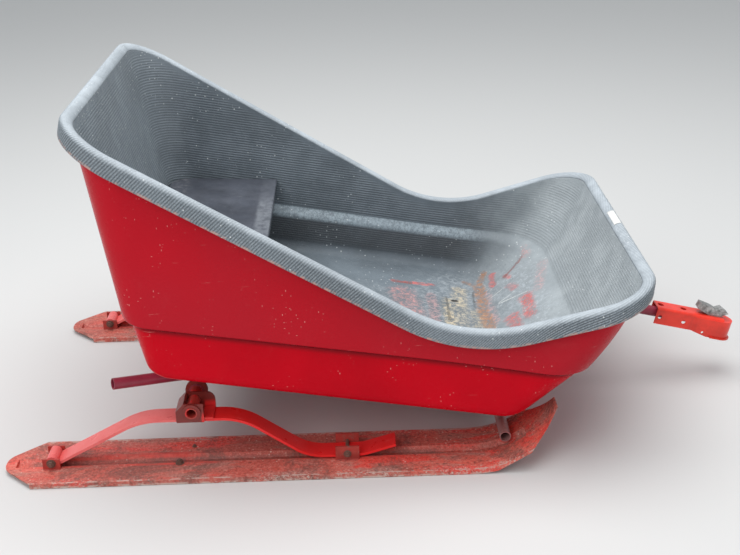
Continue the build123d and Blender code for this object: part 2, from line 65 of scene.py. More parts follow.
# Camera of the photograph: its place from the axle, its right and forward directions, and its field
CAMERA_OFFSET = Vector((0.3674, -2.588, 1.2519))
CAMERA_RIGHT = (0.99942, -0.02264, -0.02548)
CAMERA_FORWARD = (0.01073, 0.91849, -0.3953)
CAMERA_LENS, SENSOR_WIDTH = 56.74, 36.0

# The studio: half the side of its floor, the sky, and each lamp's name, place, size and power
FLOOR_REACH = 14.0
SKY_COLOUR, SKY_STRENGTH = (0.92, 0.96, 1.0, 1.0), 0.58
LAMP_TARGET = Vector((0.0, 0.0, 0.3))
LAMPS = (("key_light", (-0.2, 0.1, 3.8), 3.6, 148.0), ("side_light", (-1.8, -2.8, 2.4), 2.4, 44.0))

# Loops of the tub, level with its floor, in millimetres from the axle.
# Each loop is: back x, z, dip x, z, front x, z, half width, back and front corner radius,
# reach of the round at the dip, and how far the side draws in at the dip.
FLOOR = np.array([-72.0, 81.0, 556.0, 81.0, 692.0, 81.0, 386.0, 34.0, 34.0, 60.0, 0.0])
BILGE_MIDDLE = np.array([-93.0, 88.0, 556.0, 88.0, 710.0, 88.0, 403.0, 42.0, 48.0, 60.0, 0.0])
BILGE_TOP = np.array([-107.0, 106.0, 556.0, 106.0, 733.5, 106.0, 411.0, 48.0, 64.0, 80.0, 0.0])
LOW_WALL = np.array([-146.0, 199.0, 556.0, 199.0, 842.0, 199.0, 411.0, 52.0, 110.0, 115.0, 13.0])
STEP = np.array([-162.0, 206.0, 556.0, 206.0, 855.0, 206.0, 423.0, 58.0, 118.0, 115.0, 15.0])
LEDGE_LIP = np.array([-142.0, 188.0, 556.0, 188.0, 830.0, 188.0, 408.0, 52.0, 110.0, 115.0, 13.0])
INSET = np.array([1.0, 1.0, 0.0, 1.0, -1.0, 1.0, -1.0, 0.0, 0.0, 0.0, 0.0])
LEDGE_INSET = INSET * (1.0, 0.35, 0.0, 0.35, 1.0, 0.35, 1.0, 0.0, 0.0, 0.0, 0.0)

# The bowed upper wall: its middle loop's share of the height, and how far that loop swells forwards
BOW_SHARE, BOW_BULGE, BOW_REACH = 0.42, 9.0, 125.0
BOW_BACK_CORNER, BOW_FRONT_CORNER = 52.0, 112.0

# The middle of the rim's roll, and where the wall meets it, inwards of that middle
RIM_BACK_X, RIM_BACK_Z = -302.0, 592.0
RIM_FRONT_X, RIM_HALF_WIDTH = 930.0, 430.0
RIM_FALL, RIM_CLIMB = 0.404, 0.435
RIM_SAG_X, RIM_SAG_R = 556.0, 330.0
RIM_CORNER_R, RIM_WAIST, RIM_FOOT = 112.0, 24.0, 7.5
ROLL_START, HEM_FLARE = 150.0, 2.0
COAT_GAP = 0.05

# Where the coat's ribs and the ledge's sheen fade, and over what length, in millimetres
LOW_FOOT_FADE, LOW_HEAD_FADE = 18, 6
BOW_FADE_X, BOW_FADE = 640, 70
SHEEN_END_X, SHEEN_FADE = 735, 110
UPPER_FOOT_FADE, UPPER_HEAD_FADE = 8, 34

# Ribs of the roll, in turns per millimetre: along the rim at the back and how much less at the front,
# up over the rim at the back and how much more at the sides and front, and where each change starts
ALONG_RATE, ALONG_DROP = 0.165, 0.135
UP_RATE, UP_SIDE_GAIN, UP_FRONT_GAIN = 0.115, 0.035, 0.03
SIDE_RIBS_X, SIDE_RIBS_BLEND = 200.0, 350.0
FRONT_RIBS_X, FRONT_RIBS_BLEND = 600.0, 200.0

# The label: its angles over the roll, its ends across the bow, and the height of its faces over the coat
LABEL_ANGLES, LABEL_ACROSS, LABEL_LIFTS = (62.0, 122.0), (66.0, -20.0), (1.0, 0.55)

# Where the welds of the frame sit, level with the tub, in millimetres
COLLAR_Y, COLLAR_HALF = 281.0, 4.5
LEG_MEET_X, LEG_ANGLE = 455.0, math.atan2(345.0, 632.0)
FRAME_LEVEL, FRONT_TUBE_X, FRONT_TUBE_DROP = 26.35, 691.0, 14.0
TUBE_RADIUS = 12.7

# Sizes that set the nuts and welds of the springs and skis, in metres
AXLE_RADIUS = 0.0138
SKI_Y, SKI_TOP = 0.355, 0.012
CHEEK = 0.0301
FOOT_INSET = 0.003
# Studs of each ski: ahead of the axle, outwards of the ski's middle, and scale of the nut
SKI_STUDS = ((-0.0374, 0.0205, 0.9), (-0.0130, -0.047, 0.5))
SADDLE_WELD_START, SADDLE_WELD_END = 0.004, 0.054
SADDLE_WELD_INSET, SADDLE_WELD_RISE = 0.0045, 0.0105


def length(name, description, default, low=0.001):
    return FloatProperty(name=name, description=description, default=default, min=low, unit="LENGTH")


class SledSizes(bpy.types.PropertyGroup):
    """Sizes that change the look of the sled."""

    rib_pitch: length("Rib pitch", "Distance from rib to rib on the coat", 0.0066, 0.004)
    rib_height: length("Rib height", "Height of the ribs on the walls of the tub", 0.0009, 0.0)
    roll_rib_height: length("Roll rib height", "Height of the ribs on the rolled rim", 0.0011, 0.0)
    roll_grid: length("Roll grid", "Distance between the points that shape the roll's ribs", 0.002)
    rib_wander: FloatProperty(name="Rib wander", description="How far ribs stray from straight, in pitches",
                              default=0.5, min=0.0)
    roll_radius: length("Roll radius", "Radius of the rolled rim with its coat", 0.015, 0.01)
    hem_depth: length("Hem depth", "Depth of the skirt below the rolled rim", 0.023, 0.0)
    shell_wall: length("Moulding wall", "Thickness of the red moulding", 0.005)
    coat_wall: length("Coat wall", "Thickness of the grey coat", 0.0025)
    weld_bead: length("Weld bead", "Width of the weld beads on the frame", 0.005)
    nut_radius: length("Nut radius", "Radius over the corners of a hexagon nut", 0.008, 0.002)
    nut_height: length("Nut height", "Height of a hexagon nut", 0.006)
    seed: IntProperty(name="Seed", description="Seed of the random wear", default=7, min=0)


def tint(name, description, default):
    return FloatVectorProperty(name=name, description=description, subtype="COLOR", size=4,
                               default=(*default, 1.0), min=0.0, max=1.0)


class SledColours(bpy.types.PropertyGroup):
    """Colours of the sled's finishes."""

    tub: tint("Tub", "Glossy red of the moulding", (0.535, 0.001, 0.010))
    coat: tint("Coat", "Grey of the ribbed coat", (0.15, 0.18, 0.205))
    # This pale grey is also the painted highlight on the rib crests and over the top of the roll
    coat_worn_and_lit: tint("Worn coat", "Pale grey of the coat where hands and boots rub it", (0.48, 0.53, 0.57))
    seat: tint("Seat", "Black of the seat", (0.058, 0.064, 0.08))
    frame: tint("Frame", "Maroon paint of the frame tubes", (0.26, 0.025, 0.05))
    axle: tint("Axle", "Red paint of the axle and its saddles", (0.38, 0.04, 0.03))
    spring: tint("Spring", "Bright red paint of the leaf springs", (0.80, 0.022, 0.022))
    spring_faded: tint("Faded spring", "Salmon of the leaf springs' rear halves", (0.80, 0.17, 0.16))
    ski: tint("Ski", "Faded red paint of the skis", (0.66, 0.115, 0.08))
    ski_worn: tint("Worn ski", "Brown of the skis where the paint is gone", (0.36, 0.18, 0.145))
    coupler: tint("Coupler", "Bright red paint of the coupler", (0.84, 0.04, 0.02))
    dirt: tint("Dirt", "Dried mud and rust", (0.115, 0.07, 0.048))
    steel: tint("Steel", "Bare and zinc plated steel", (0.42, 0.42, 0.41))
    label: tint("Label", "White of the blank label on the rim", (0.72, 0.72, 0.70))
    floor: tint("Floor", "Studio floor", (0.62, 0.62, 0.61))


class Nodes:
    """Adds nodes to a node tree, with inputs given as values or as sockets to link."""

    def add(self, kind, inputs=None, **settings):
        node = self.tree.nodes.new(kind)
        for key, value in settings.items():
            setattr(node, key, value)
        for key, value in (inputs or {}).items():
            if isinstance(value, bpy.types.NodeSocket):
                self.tree.links.new(value, node.inputs[key])
            else:
                node.inputs[key].default_value = value
        return node

    def math(self, operation, a, b=0.0):
        return self.add("ShaderNodeMath", {0: a, 1: b}, operation=operation).outputs[0]

    def times(self, first, *others):
        """Product of two or more values."""
        for other in others:
            first = self.math("MULTIPLY", first, other)
        return first

    def scaled(self, vector, by):
        return self.add("ShaderNodeVectorMath", {0: vector, "Scale": by}, operation="SCALE").outputs[0]


# Finishes

class Finish(Nodes):
    """A material that is built up node by node."""

    def __init__(self, name):
        self.material = bpy.data.materials.new(name)
        self.material.use_nodes = True
        self.tree = self.material.node_tree
        self.shader = self.tree.nodes["Principled BSDF"]
        self.place = self.add("ShaderNodeTexCoord").outputs["Object"]
        self.level = None

    def moved(self, turn=(0, 0, 0), stretch=(1, 1, 1)):
        turned = tuple(math.radians(a) for a in turn)
        inputs = {"Vector": self.place, "Rotation": turned, "Scale": stretch}
        return self.add("ShaderNodeMapping", inputs).outputs[0]

    def noise(self, scale, detail=4.0, rough=0.55, twist=0.0, at=None):
        inputs = {"Vector": at or self.place, "Scale": scale, "Detail": detail, "Roughness": rough,
                  "Distortion": twist}
        return self.add("ShaderNodeTexNoise", inputs).outputs["Fac"]

    def cells(self, scale, at=None):
        inputs = {"Vector": at or self.place, "Scale": scale}
        return self.add("ShaderNodeTexVoronoi", inputs).outputs["Distance"]

    def ramp(self, value, low, high, start=0.0, end=1.0):
        inputs = {"Value": value, "From Min": low, "From Max": high, "To Min": start, "To Max": end}
        return self.add("ShaderNodeMapRange", inputs, interpolation_type="SMOOTHSTEP").outputs[0]

    def patch(self, low, high, *noise, start=0.0, end=1.0, **more):
        """Patches of noise: start where it is low, end where it is high."""
        return self.ramp(self.noise(*noise, **more), low, high, start, end)

    def mix(self, amount, a, b):
        return self.add("ShaderNodeMix", {0: amount, 6: a, 7: b}, data_type="RGBA").outputs[2]

    def lay(self, base, colour, *amounts):
        """Base with a colour laid over it, by the product of the amounts."""
        if not isinstance(colour, bpy.types.NodeSocket):
            colour = (*colour[:3], 1.0)
        return self.mix(self.times(*amounts), base, colour)

    def axis(self, index, at=None):
        return self.add("ShaderNodeSeparateXYZ", {0: at or self.place}).outputs[index]

    def tub_place(self):
        """Place level with the tub's floor, in metres from the axle."""
        if self.level is None:
            apart = self.vector("SUBTRACT", self.place, tuple(AXLE))
            turned = {"Vector": apart, "Rotation": (0, -PARK_PITCH, 0)}
            self.level = self.add("ShaderNodeMapping", turned).outputs[0]
        return self.level

    def vector(self, operation, a, b=(0, 0, 0), out=0):
        return self.add("ShaderNodeVectorMath", {0: a, 1: b}, operation=operation).outputs[out]

    def stroke(self, start, end, half, rag):
        """One along a stroke inside the tub and nothing away from it; rag roughens its edge."""
        start, end = Vector(start) / 1000, Vector(end) / 1000
        run = end - start
        apart = self.vector("SUBTRACT", self.tub_place(), tuple(start))
        along = self.vector("DOT_PRODUCT", apart, tuple(run), "Value")
        share = self.math("DIVIDE", along, run.length_squared)
        share = self.add("ShaderNodeClamp", {"Value": share}).outputs[0]
        nearest = self.scaled(tuple(run), share)
        reach = self.vector("LENGTH", self.vector("SUBTRACT", apart, nearest), out="Value")
        reach = self.math("ADD", reach, self.times(rag, half * 0.0016 + 0.012))
        return self.ramp(reach, half / 1000, half * 0.00035)

    def attribute(self, name):
        return self.add("ShaderNodeAttribute", attribute_name=name).outputs["Fac"]

    def set(self, name, value):
        if isinstance(value, bpy.types.NodeSocket):
            self.tree.links.new(value, self.shader.inputs[name])
        else:
            self.shader.inputs[name].default_value = value

    def done(self, colour, roughness, relief, strength, distance):
        """Sets colour, roughness and relief, and returns the material."""
        self.set("Base Color", colour)
        self.set("Roughness", roughness)
        inputs = {"Height": relief, "Strength": strength, "Distance": distance}
        self.set("Normal", self.add("ShaderNodeBump", inputs).outputs[0])
        return self.material


def shade(colour, by):
    return tuple(min(1.0, c * by) for c in colour[:3]) + (1.0,)


def tub_paint(colours):
    """Glossy gelcoat with dust, fine scratches and pale nicks, a painted sky reflection on the upper wall and a
    painted shadow in the crease under the step.
    """
    f = Finish("tub_paint")
    base = f.mix(f.patch(0.3, 0.75, 3.2, 3), shade(colours.tub, 0.86), shade(colours.tub, 1.1))
    height = f.axis(2, f.tub_place())
    # Duller red in patches on the upper wall above the step: a painted reflection of the sky
    bloom = f.patch(0.3, 0.7, 2.2, 4, start=0.6)
    base = f.lay(base, (0.45, 0.013, 0.024), f.ramp(height, 0.198, 0.206), bloom)
    # Dark line in the crease under the step: painted shade
    level = f.math("ADD", height, f.times(f.noise(12, 3), 0.0016))
    base = f.lay(base, (0.10, 0.006, 0.010), f.ramp(level, 0.186, 0.201), f.ramp(level, 0.2075, 0.2050), 0.72)
    base = f.lay(base, (0.56, 0.16, 0.15), f.patch(0.56, 0.86, 9, 8, 0.7, 0.6), 0.12)
    rising = f.moved(turn=(0, 38, 0), stretch=(7, 7, 160))
    scratches = f.patch(0.705, 0.75, 1.0, 5, 0.6, at=rising)
    base = f.lay(base, (0.72, 0.24, 0.22), scratches, f.patch(0.52, 0.62, 5, 2), 0.5)
    falling = f.moved(turn=(0, -55, 0), stretch=(9, 9, 240))
    base = f.lay(base, (0.78, 0.36, 0.32), f.patch(0.72, 0.75, 1.0, 4, 0.6, at=falling), 0.5)
    for turn, stretch in ((25, (60, 60, 150)), (-60, (120, 60, 48))):
        nicks = f.ramp(f.cells(1.0, at=f.moved(turn=(0, turn, 0), stretch=stretch)), 0.13, 0.06)
        base = f.lay(base, (0.85, 0.42, 0.38), nicks, f.patch(0.52, 0.62, 13, 4), 0.6)
    f.set("Specular IOR Level", 0.07)
    return f.done(base, f.patch(0.3, 0.8, 22, 5, start=0.22, end=0.4), f.noise(60, 3), 0.08, 0.002)


def coat_finish(colours, name, rim):
    """Grey coat with fine cross weave; its ribs are in the mesh, their crests wear pale and carry a painted
    highlight, and their hollows are darkened as painted shade.
    """
    f = Finish(name)
    coat = colours.coat
    base = f.mix(f.patch(0.3, 0.72, 5.5, 6, 0.6), shade(coat, 0.82), shade(coat, 1.22))
    crest, rise = f.attribute("relief"), f.attribute("rise")
    worn, broken = f.patch(0.35, 0.75, 11, 8, 0.7), f.patch(0.36, 0.62, 330, 5, 0.8)
    if rim:
        # Darker in the hollows between the roll's ribs: painted shade
        base = f.lay(base, shade(coat, 0.22), f.ramp(crest, 0.42, 0.24), f.ramp(broken, 0, 1, 0.95, 0.35))
        # Pale on the rib crests and over the top of the roll: wear, and a painted highlight
        ribbed = f.times(f.ramp(crest, 0.42, 0.64), f.ramp(broken, 0, 1, 0.10, 0.58))
        top = f.times(f.ramp(rise, 0.2, 0.92), f.ramp(worn, 0, 1, 0.55, 0.95))
        base = f.lay(base, colours.coat_worn_and_lit, f.math("ADD", ribbed, top))
        base = f.lay(base, (0.55, 0.34, 0.29), f.ramp(rise, -0.72, -0.9), f.patch(0.44, 0.6, 60, 6, 0.7), 0.8)
        base = f.lay(base, (0.30, 0.15, 0.10), f.patch(0.6, 0.74, 26, 8, 0.7), f.ramp(rise, 0.1, -0.8), 0.35)
    else:
        # Pale on the rib crests: wear, and a painted highlight; darker in the hollows: painted shade
        base = f.lay(base, colours.coat_worn_and_lit, f.ramp(crest, 0.45, 0.75), f.ramp(worn, 0, 1, 0.10, 0.36))
        base = f.lay(base, shade(coat, 0.42), f.ramp(crest, 0.42, 0.2), f.ramp(broken, 0, 1, 0.8, 0.36))
        # Pale blue-grey on the ledge where rise is strong: a painted sheen of sky light
        base = f.lay(base, (0.41, 0.49, 0.54), rise, f.patch(0.38, 0.6, 120, 6, 0.85, start=0.15, end=0.9))
        # Paler towards the bow: painted light from the sky on the bow wall
        ahead, level = f.axis(0, f.tub_place()), f.axis(2, f.tub_place())
        base = f.lay(base, (0.46, 0.50, 0.515), f.ramp(ahead, 0.56, 0.90), f.ramp(worn, 0, 1, 0.6, 0.85))
        # Darker on the low wall under the ledge: painted shade
        low_wall = f.times(f.ramp(level, 0.10, 0.125), f.ramp(level, 0.19, 0.175), f.ramp(ahead, 0.70, 0.60))
        base = f.lay(base, (0.085, 0.082, 0.082), low_wall, 0.5)
        # Paler on the back wall: painted light from the sky
        base = f.lay(base, (0.40, 0.44, 0.47), f.ramp(ahead, -0.1, -0.2, 0.0, 0.22))
    specks = f.ramp(f.cells(78), 0.17, 0.09)
    base = f.lay(base, (0.8, 0.83, 0.83), specks, f.patch(0.47, 0.58, 9, 5, 0.65), 0.8)
    base = f.lay(base, (0.62, 0.66, 0.68), f.patch(0.6, 0.72, 420, 4, 0.8), 0.4)
    base = f.lay(base, shade(coat, 0.4), f.patch(0.56, 0.7, 130, 8, 0.8), 0.4)
    if not rim:
        base = floor_wear(f, base)
    weave = f.math("ADD", f.noise(420, 5, 0.7), f.times(f.noise(1500, 2), 0.6))
    return f.done(base, f.patch(0.3, 0.75, 40, 6, start=0.42, end=0.7), weave, 0.75, 0.0014)


# Wear inside the tub. Each kind is: where its noise starts and ends, its colour and its strokes.
# Each stroke is: start and end, level with the floor, in millimetres from the axle, half width, strength.
PALE = (0.34, 0.60, (0.43, 0.47, 0.50), (
    ((640, 220, 89), (560, -180, 89), 190, 0.6), ((770, 240, 150), (770, -260, 150), 100, 0.6),
    ((400, 150, 89), (430, -200, 89), 120, 0.3)))
TAN = (0.40, 0.58, (0.60, 0.50, 0.34), (
    ((632, 250, 89), (622, 150, 89), 30, 0.8), ((594, 180, 89), (588, -180, 89), 22, 0.95),
    ((626, 140, 89), (616, -60, 89), 30, 0.6), ((664, 120, 89), (664, -220, 89), 26, 0.8)))
PINK = (0.42, 0.60, (0.60, 0.26, 0.24), (
    ((474, 200, 89), (496, 90, 89), 48, 0.75), ((552, 200, 89), (552, 40, 89), 20, 0.6),
    ((700, 240, 92), (706, 60, 96), 20, 0.5), ((836, 250, 202), (806, 110, 179), 20, 0.45),
    ((812, 405, 184), (809, 335, 181), 20, 0.6), ((330, 90, 89), (350, 40, 89), 50, 0.4)))
RED = (0.38, 0.54, (0.58, 0.15, 0.14), (
    ((455, 266, 89), (560, 268, 89), 11, 0.95), ((724, 330, 111), (721, 265, 109), 14, 0.9),
    ((780, 112, 157), (774, 5, 153), 24, 0.95), ((740, 40, 125), (744, -50, 127), 28, 0.85),
    ((752, 285, 135), (760, 262, 140), 12, 0.7), ((754, 215, 137), (762, 190, 142), 16, 0.6)))
BROWN = (0.38, 0.50, (0.26, 0.09, 0.08), (
    ((748, 278, 132), (818, 356, 187), 8, 0.75), ((455, 266, 89), (500, 262, 89), 9, 0.7)))
RUST = (0.36, 0.56, (0.40, 0.20, 0.11), (
    ((707, 360, 99), (690, 296, 89), 14, 1.0), ((652, 312, 89), (688, 290, 89), 13, 0.9),
    ((688, 293, 89), (684, 150, 89), 21, 1.0), ((684, 150, 89), (692, -40, 89), 24, 0.95),
    ((692, -40, 89), (680, -240, 89), 16, 0.7)))
DIRT = (0.36, 0.50, (0.045, 0.042, 0.04), (
    ((704, 402, 131), (748, 402, 161), 6, 0.6), ((748, 402, 161), (792, 398, 190), 7, 0.9),
    ((592, 200, 89), (590, 60, 89), 5, 0.6), ((668, 250, 89), (664, 150, 89), 5, 0.6)))
SCRATCHES = (((722, 146, 110), (784, 134, 160), 2.4, 0.9), ((724, 152, 112), (760, 168, 140), 2.2, 0.8),
             ((700, 196, 90), (736, 216, 122), 2.2, 0.7), ((330, -60, 89), (420, 20, 89), 2.2, 0.6))
# A hole in the floor, painted dark: painted shade of the opening
HOLE = ((608, 180, 89), (617, 181, 89), 8)


def floor_wear(f, base):
    """Boot wear on the floor of the tub: pale scuffs, red showing through, rust stains, and a hole painted dark
    as painted shade.
    """
    rag = f.math("SUBTRACT", f.noise(26, 9, 0.8, 1.2), 0.5)
    fine, torn = f.noise(85, 10, 0.8, 0.7), f.noise(30, 8, 0.75, 0.8)
    for low, high, colour, strokes in (PALE, TAN, PINK, RED, BROWN, RUST, DIRT):
        total = 0.0
        for start, end, half, strength in strokes:
            total = f.math("MAXIMUM", total, f.times(f.stroke(start, end, half, rag), strength))
        patchy = f.times(f.ramp(fine, low, high), f.ramp(torn, 0.36, 0.52, 0.25, 1.0))
        tone = f.mix(f.ramp(fine, 0.4, 0.62), shade(colour, 0.6), shade(colour, 1.25))
        base = f.lay(base, tone, total, patchy)
    even = f.times(rag, 0.1)
    for start, end, half, strength in SCRATCHES:
        line = f.times(f.stroke(start, end, half, even), f.ramp(torn, 0.4, 0.5, 0.2, strength))
        base = f.lay(base, (0.66, 0.68, 0.66), line)
    # The hole in the floor, painted near black as painted shade
    return f.lay(base, (0.02, 0.015, 0.012), f.stroke(*HOLE, even))


def seat_finish(colours):
    """Satin black with scuffs, a dusty bloom and a pale strip along its front, which is a painted highlight."""
    f = Finish("seat_finish")
    base = f.mix(f.patch(0.3, 0.7, 6, 5, 0.6), shade(colours.seat, 0.7), shade(colours.seat, 1.5))
    slanting = f.moved(turn=(0, 0, 12), stretch=(12, 60, 20))
    base = f.lay(base, (0.3, 0.31, 0.33), f.patch(0.6, 0.74, 1, 6, 0.7, at=slanting), 0.35)
    base = f.lay(base, (0.4, 0.4, 0.4), f.patch(0.56, 0.7, 150, 6, 0.8), 0.22)
    ahead = f.axis(0, f.tub_place())
    # Pale strip along the front, fading towards the far side: a painted highlight on the seat's rounded front
    # edge
    strip = f.times(f.ramp(ahead, 0.072, 0.084), f.patch(0.35, 0.6, 60, 7, 0.75, start=0.15, end=0.8))
    base = f.lay(base, (0.20, 0.215, 0.24), strip, f.ramp(f.axis(1), 0.29, 0.19, 0.25, 1.0))
    base = f.lay(base, (0.36, 0.35, 0.35), f.ramp(ahead, -0.09, -0.14), f.patch(0.48, 0.66, 80, 7, 0.8), 0.5)
    return f.done(base, f.patch(0.3, 0.75, 14, 6, start=0.28, end=0.52), f.noise(700, 3), 0.18, 0.0006)


def ski_paint(colours):
    """Faded ski paint, scoured to brown, with packed dirt, painted shade in its keel groove and pale chips along
    its edges.
    """
    f = Finish("ski_paint")
    along = f.moved(stretch=(0.3, 1, 1))
    wear, grit = f.noise(16, 9, 0.72, 0.6, at=along), f.noise(150, 8, 0.85)
    base = f.mix(f.patch(0.3, 0.7, 4.2, 4, 0.6, at=along), shade(colours.ski, 0.75), shade(colours.ski, 1.25))
    bare = f.times(f.ramp(wear, 0.44, 0.62), 0.7)
    base = f.lay(base, colours.ski_worn, bare)
    base = f.lay(base, (0.80, 0.05, 0.035), f.patch(0.52, 0.6, 9, 7, 0.7, 0.5, at=along), 0.85)
    base = f.lay(base, (0.66, 0.38, 0.31), f.ramp(grit, 0.5, 0.66), 0.65)
    base = f.lay(base, (0.10, 0.04, 0.032), f.ramp(grit, 0.48, 0.38), 0.8)
    base = f.lay(base, (0.72, 0.55, 0.47), f.ramp(f.cells(85), 0.2, 0.11), f.patch(0.44, 0.58, 9, 5), 0.75)
    mud = f.patch(0.5, 0.62, 6, 9, 0.8, 0.8)
    base = f.lay(base, (0.15, 0.07, 0.055), mud, f.ramp(grit, 0.66, 0.4, 0.3, 0.85))
    off_middle = f.math("ABSOLUTE", f.math("SUBTRACT", f.math("ABSOLUTE", f.axis(1)), SKI_Y))
    chips = f.times(f.patch(0.52, 0.6, 170, 6, 0.85), f.ramp(off_middle, 0.058, 0.082))
    base = f.lay(base, (0.66, 0.52, 0.45), chips, f.patch(0.42, 0.56, 12, 6, 0.7), 0.85)
    low_edge = f.times(f.ramp(off_middle, 0.0855, 0.0872), f.ramp(f.axis(2), 0.0075, 0.003))
    lip = f.times(f.ramp(off_middle, 0.0800, 0.0845), f.ramp(off_middle, 0.0872, 0.0856))
    edge = f.math("MAXIMUM", low_edge, lip)
    base = f.lay(base, (0.58, 0.46, 0.40), edge, f.patch(0.46, 0.56, 46, 8, 0.75), 0.85)
    ridge = f.times(f.ramp(off_middle, 0.030, 0.022), f.ramp(off_middle, 0.008, 0.014))
    ridge = f.times(ridge, f.patch(0.44, 0.56, 8, 7, 0.7, at=along))
    x = f.axis(0)
    keel = f.times(f.ramp(x, AXLE.x - 0.40, AXLE.x - 0.33), f.ramp(x, AXLE.x + 0.6, AXLE.x + 0.5))
    base = f.lay(base, (0.74, 0.06, 0.045), ridge, keel, 0.7)
    # Darker brown along the bottom of the keel groove: packed dirt, and painted shade
    groove_dirt_and_shade = f.times(f.ramp(off_middle, 0.014, 0.008), f.ramp(grit, 0.66, 0.4, 0.2, 0.6))
    base = f.lay(base, (0.20, 0.085, 0.07), groove_dirt_and_shade, keel)
    relief = f.math("SUBTRACT", grit, f.times(bare, 0.5))
    return f.done(base, f.ramp(wear, 0.4, 0.62, 0.42, 0.82), relief, 0.7, 0.0012)


def spring_paint(colours):
    """Fresh red on the front of the leaf, sun-faded to salmon behind the saddle."""
    f = Finish("spring_paint")
    behind = f.ramp(f.math("ADD", f.axis(0), f.times(f.noise(30, 4), 0.02)), AXLE.x + 0.03, AXLE.x - 0.02)
    base = f.mix(behind, colours.spring, colours.spring_faded)
    base = f.lay(base, shade(colours.spring, 0.7), f.patch(0.35, 0.75, 14, 6, 0.65), 0.3)
    base = f.lay(base, (0.25, 0.06, 0.045), f.patch(0.66, 0.7, 75, 9, 0.75, 0.3), 0.8)
    along = f.moved(stretch=(9, 130, 130))
    base = f.lay(base, (0.88, 0.42, 0.38), f.patch(0.64, 0.74, 1, 5, 0.6, at=along), 0.35)
    f.set("Specular IOR Level", 0.35)
    return f.done(base, f.patch(0.3, 0.75, 40, 5, start=0.26, end=0.46), f.noise(160, 5), 0.15, 0.0006)


def label_finish(colours):
    """Blank white label, a little soiled at its edges."""
    f = Finish("label_white")
    f.set("Specular IOR Level", 0.2)
    base = f.lay(colours.label, (0.45, 0.45, 0.43), f.patch(0.5, 0.75, 90, 7, 0.7), 0.3)
    return f.done(base, 0.6, f.noise(200, 3), 0.1, 0.0003)


def worn_paint(name, paint, dirt, wear=0.5, grime=0.5, gloss=0.34, bare=(0.2, 0.12, 0.09), grain=26.0,
               fresh=None, fresh_from=None):
    """Brushed-on paint that fades, chips down to rusty steel and holds dirt."""
    f = Finish(name)
    base = f.mix(f.patch(0.3, 0.72, grain * 0.35, 5, 0.6), shade(paint, 0.72), shade(paint, 1.25))
    if fresh is not None:
        kept = f.patch(0.54, 0.6, grain * 0.8, 6, 0.65, 0.4)
        if fresh_from is not None:
            near = f.math("ADD", f.axis(0), f.times(f.noise(90, 6, 0.7), 0.014))
            kept = f.times(f.ramp(near, fresh_from, fresh_from + 0.006), f.ramp(f.axis(2), 0.147, 0.134))
        base = f.lay(base, fresh, kept, 0.9)
    chip_edge, mud_edge = 0.74 - 0.2 * wear, 0.78 - 0.36 * grime
    chipped = f.patch(chip_edge, chip_edge + 0.05, grain * 2.6, 10, 0.72, 0.35)
    muddy = f.patch(mud_edge, mud_edge + 0.16, grain, 10, 0.75, 0.5)
    base = f.lay(f.lay(base, bare, chipped), dirt, muddy, 0.85)
    rough = f.math("ADD", f.times(muddy, 0.35), f.times(chipped, 0.25))
    relief = f.math("SUBTRACT", f.noise(grain * 14, 5, 0.7), f.times(chipped, 0.7))
    return f.done(base, f.math("ADD", rough, gloss), relief, 0.35, 0.0006)


def plated_steel(name, colour):
    """Zinc plated steel with dull spots."""
    f = Finish(name)
    spangle = f.patch(0.35, 0.7, 90, 6, 0.7)
    base = f.mix(spangle, shade(colour, 0.55), shade(colour, 1.3))
    base = f.lay(base, (0.09, 0.065, 0.05), f.patch(0.6, 0.7, 260, 6, 0.8), 0.6)
    f.set("Metallic", 0.75)
    return f.done(base, f.ramp(spangle, 0, 1, 0.58, 0.38), f.noise(500, 4), 0.2, 0.0004)


# Loops of the tub

def tipped(points):
    """Row-frame metres of points given level with the tub, in millimetres from the axle."""
    p = np.asarray(points, float) / 1000
    out = np.empty_like(p)
    ca, sa = math.cos(PARK_PITCH), math.sin(PARK_PITCH)
    out[..., 0] = AXLE.x + p[..., 0] * ca + p[..., 2] * sa
    out[..., 1] = p[..., 1]
    out[..., 2] = AXLE.z - p[..., 0] * sa + p[..., 2] * ca
    return out


def rim_values(out, up):
    """Loop that follows the rim, out and up from the middle of its roll."""
    fall, climb = math.cos(math.atan(RIM_FALL)), math.cos(math.atan(RIM_CLIMB))
    sag_z = RIM_BACK_Z - RIM_FALL * (RIM_SAG_X - RIM_BACK_X)
    back_x, front_x = RIM_BACK_X - out, RIM_FRONT_X + out
    lift_back, lift_front = up / fall, up / climb
    back_z = RIM_BACK_Z + RIM_FALL * out + lift_back
    front_z = sag_z + RIM_CLIMB * (front_x - RIM_SAG_X) + lift_front
    dip_x = RIM_SAG_X + (lift_back - lift_front) / (RIM_FALL + RIM_CLIMB)
    dip_z = sag_z - RIM_FALL * (dip_x - RIM_SAG_X) + lift_back
    corner = RIM_CORNER_R + out
    turn = math.atan(RIM_FALL) + math.atan(RIM_CLIMB)
    reach = (RIM_SAG_R - up) * math.tan(turn / 2)
    return np.array([back_x, back_z, dip_x, dip_z, front_x, front_z, RIM_HALF_WIDTH + out, corner, corner,
                     reach, RIM_WAIST])


def roll_values(radius, degrees):
    a = math.radians(degrees)
    return rim_values(radius * math.cos(a), radius * math.sin(a))


def hem_values(radius, depth, share):
    """Loop on the skirt that hangs from the roll, at a share of its depth."""
    return rim_values(radius + HEM_FLARE * share, -depth * share)


def set_in(values, inset):
    return values + INSET * inset


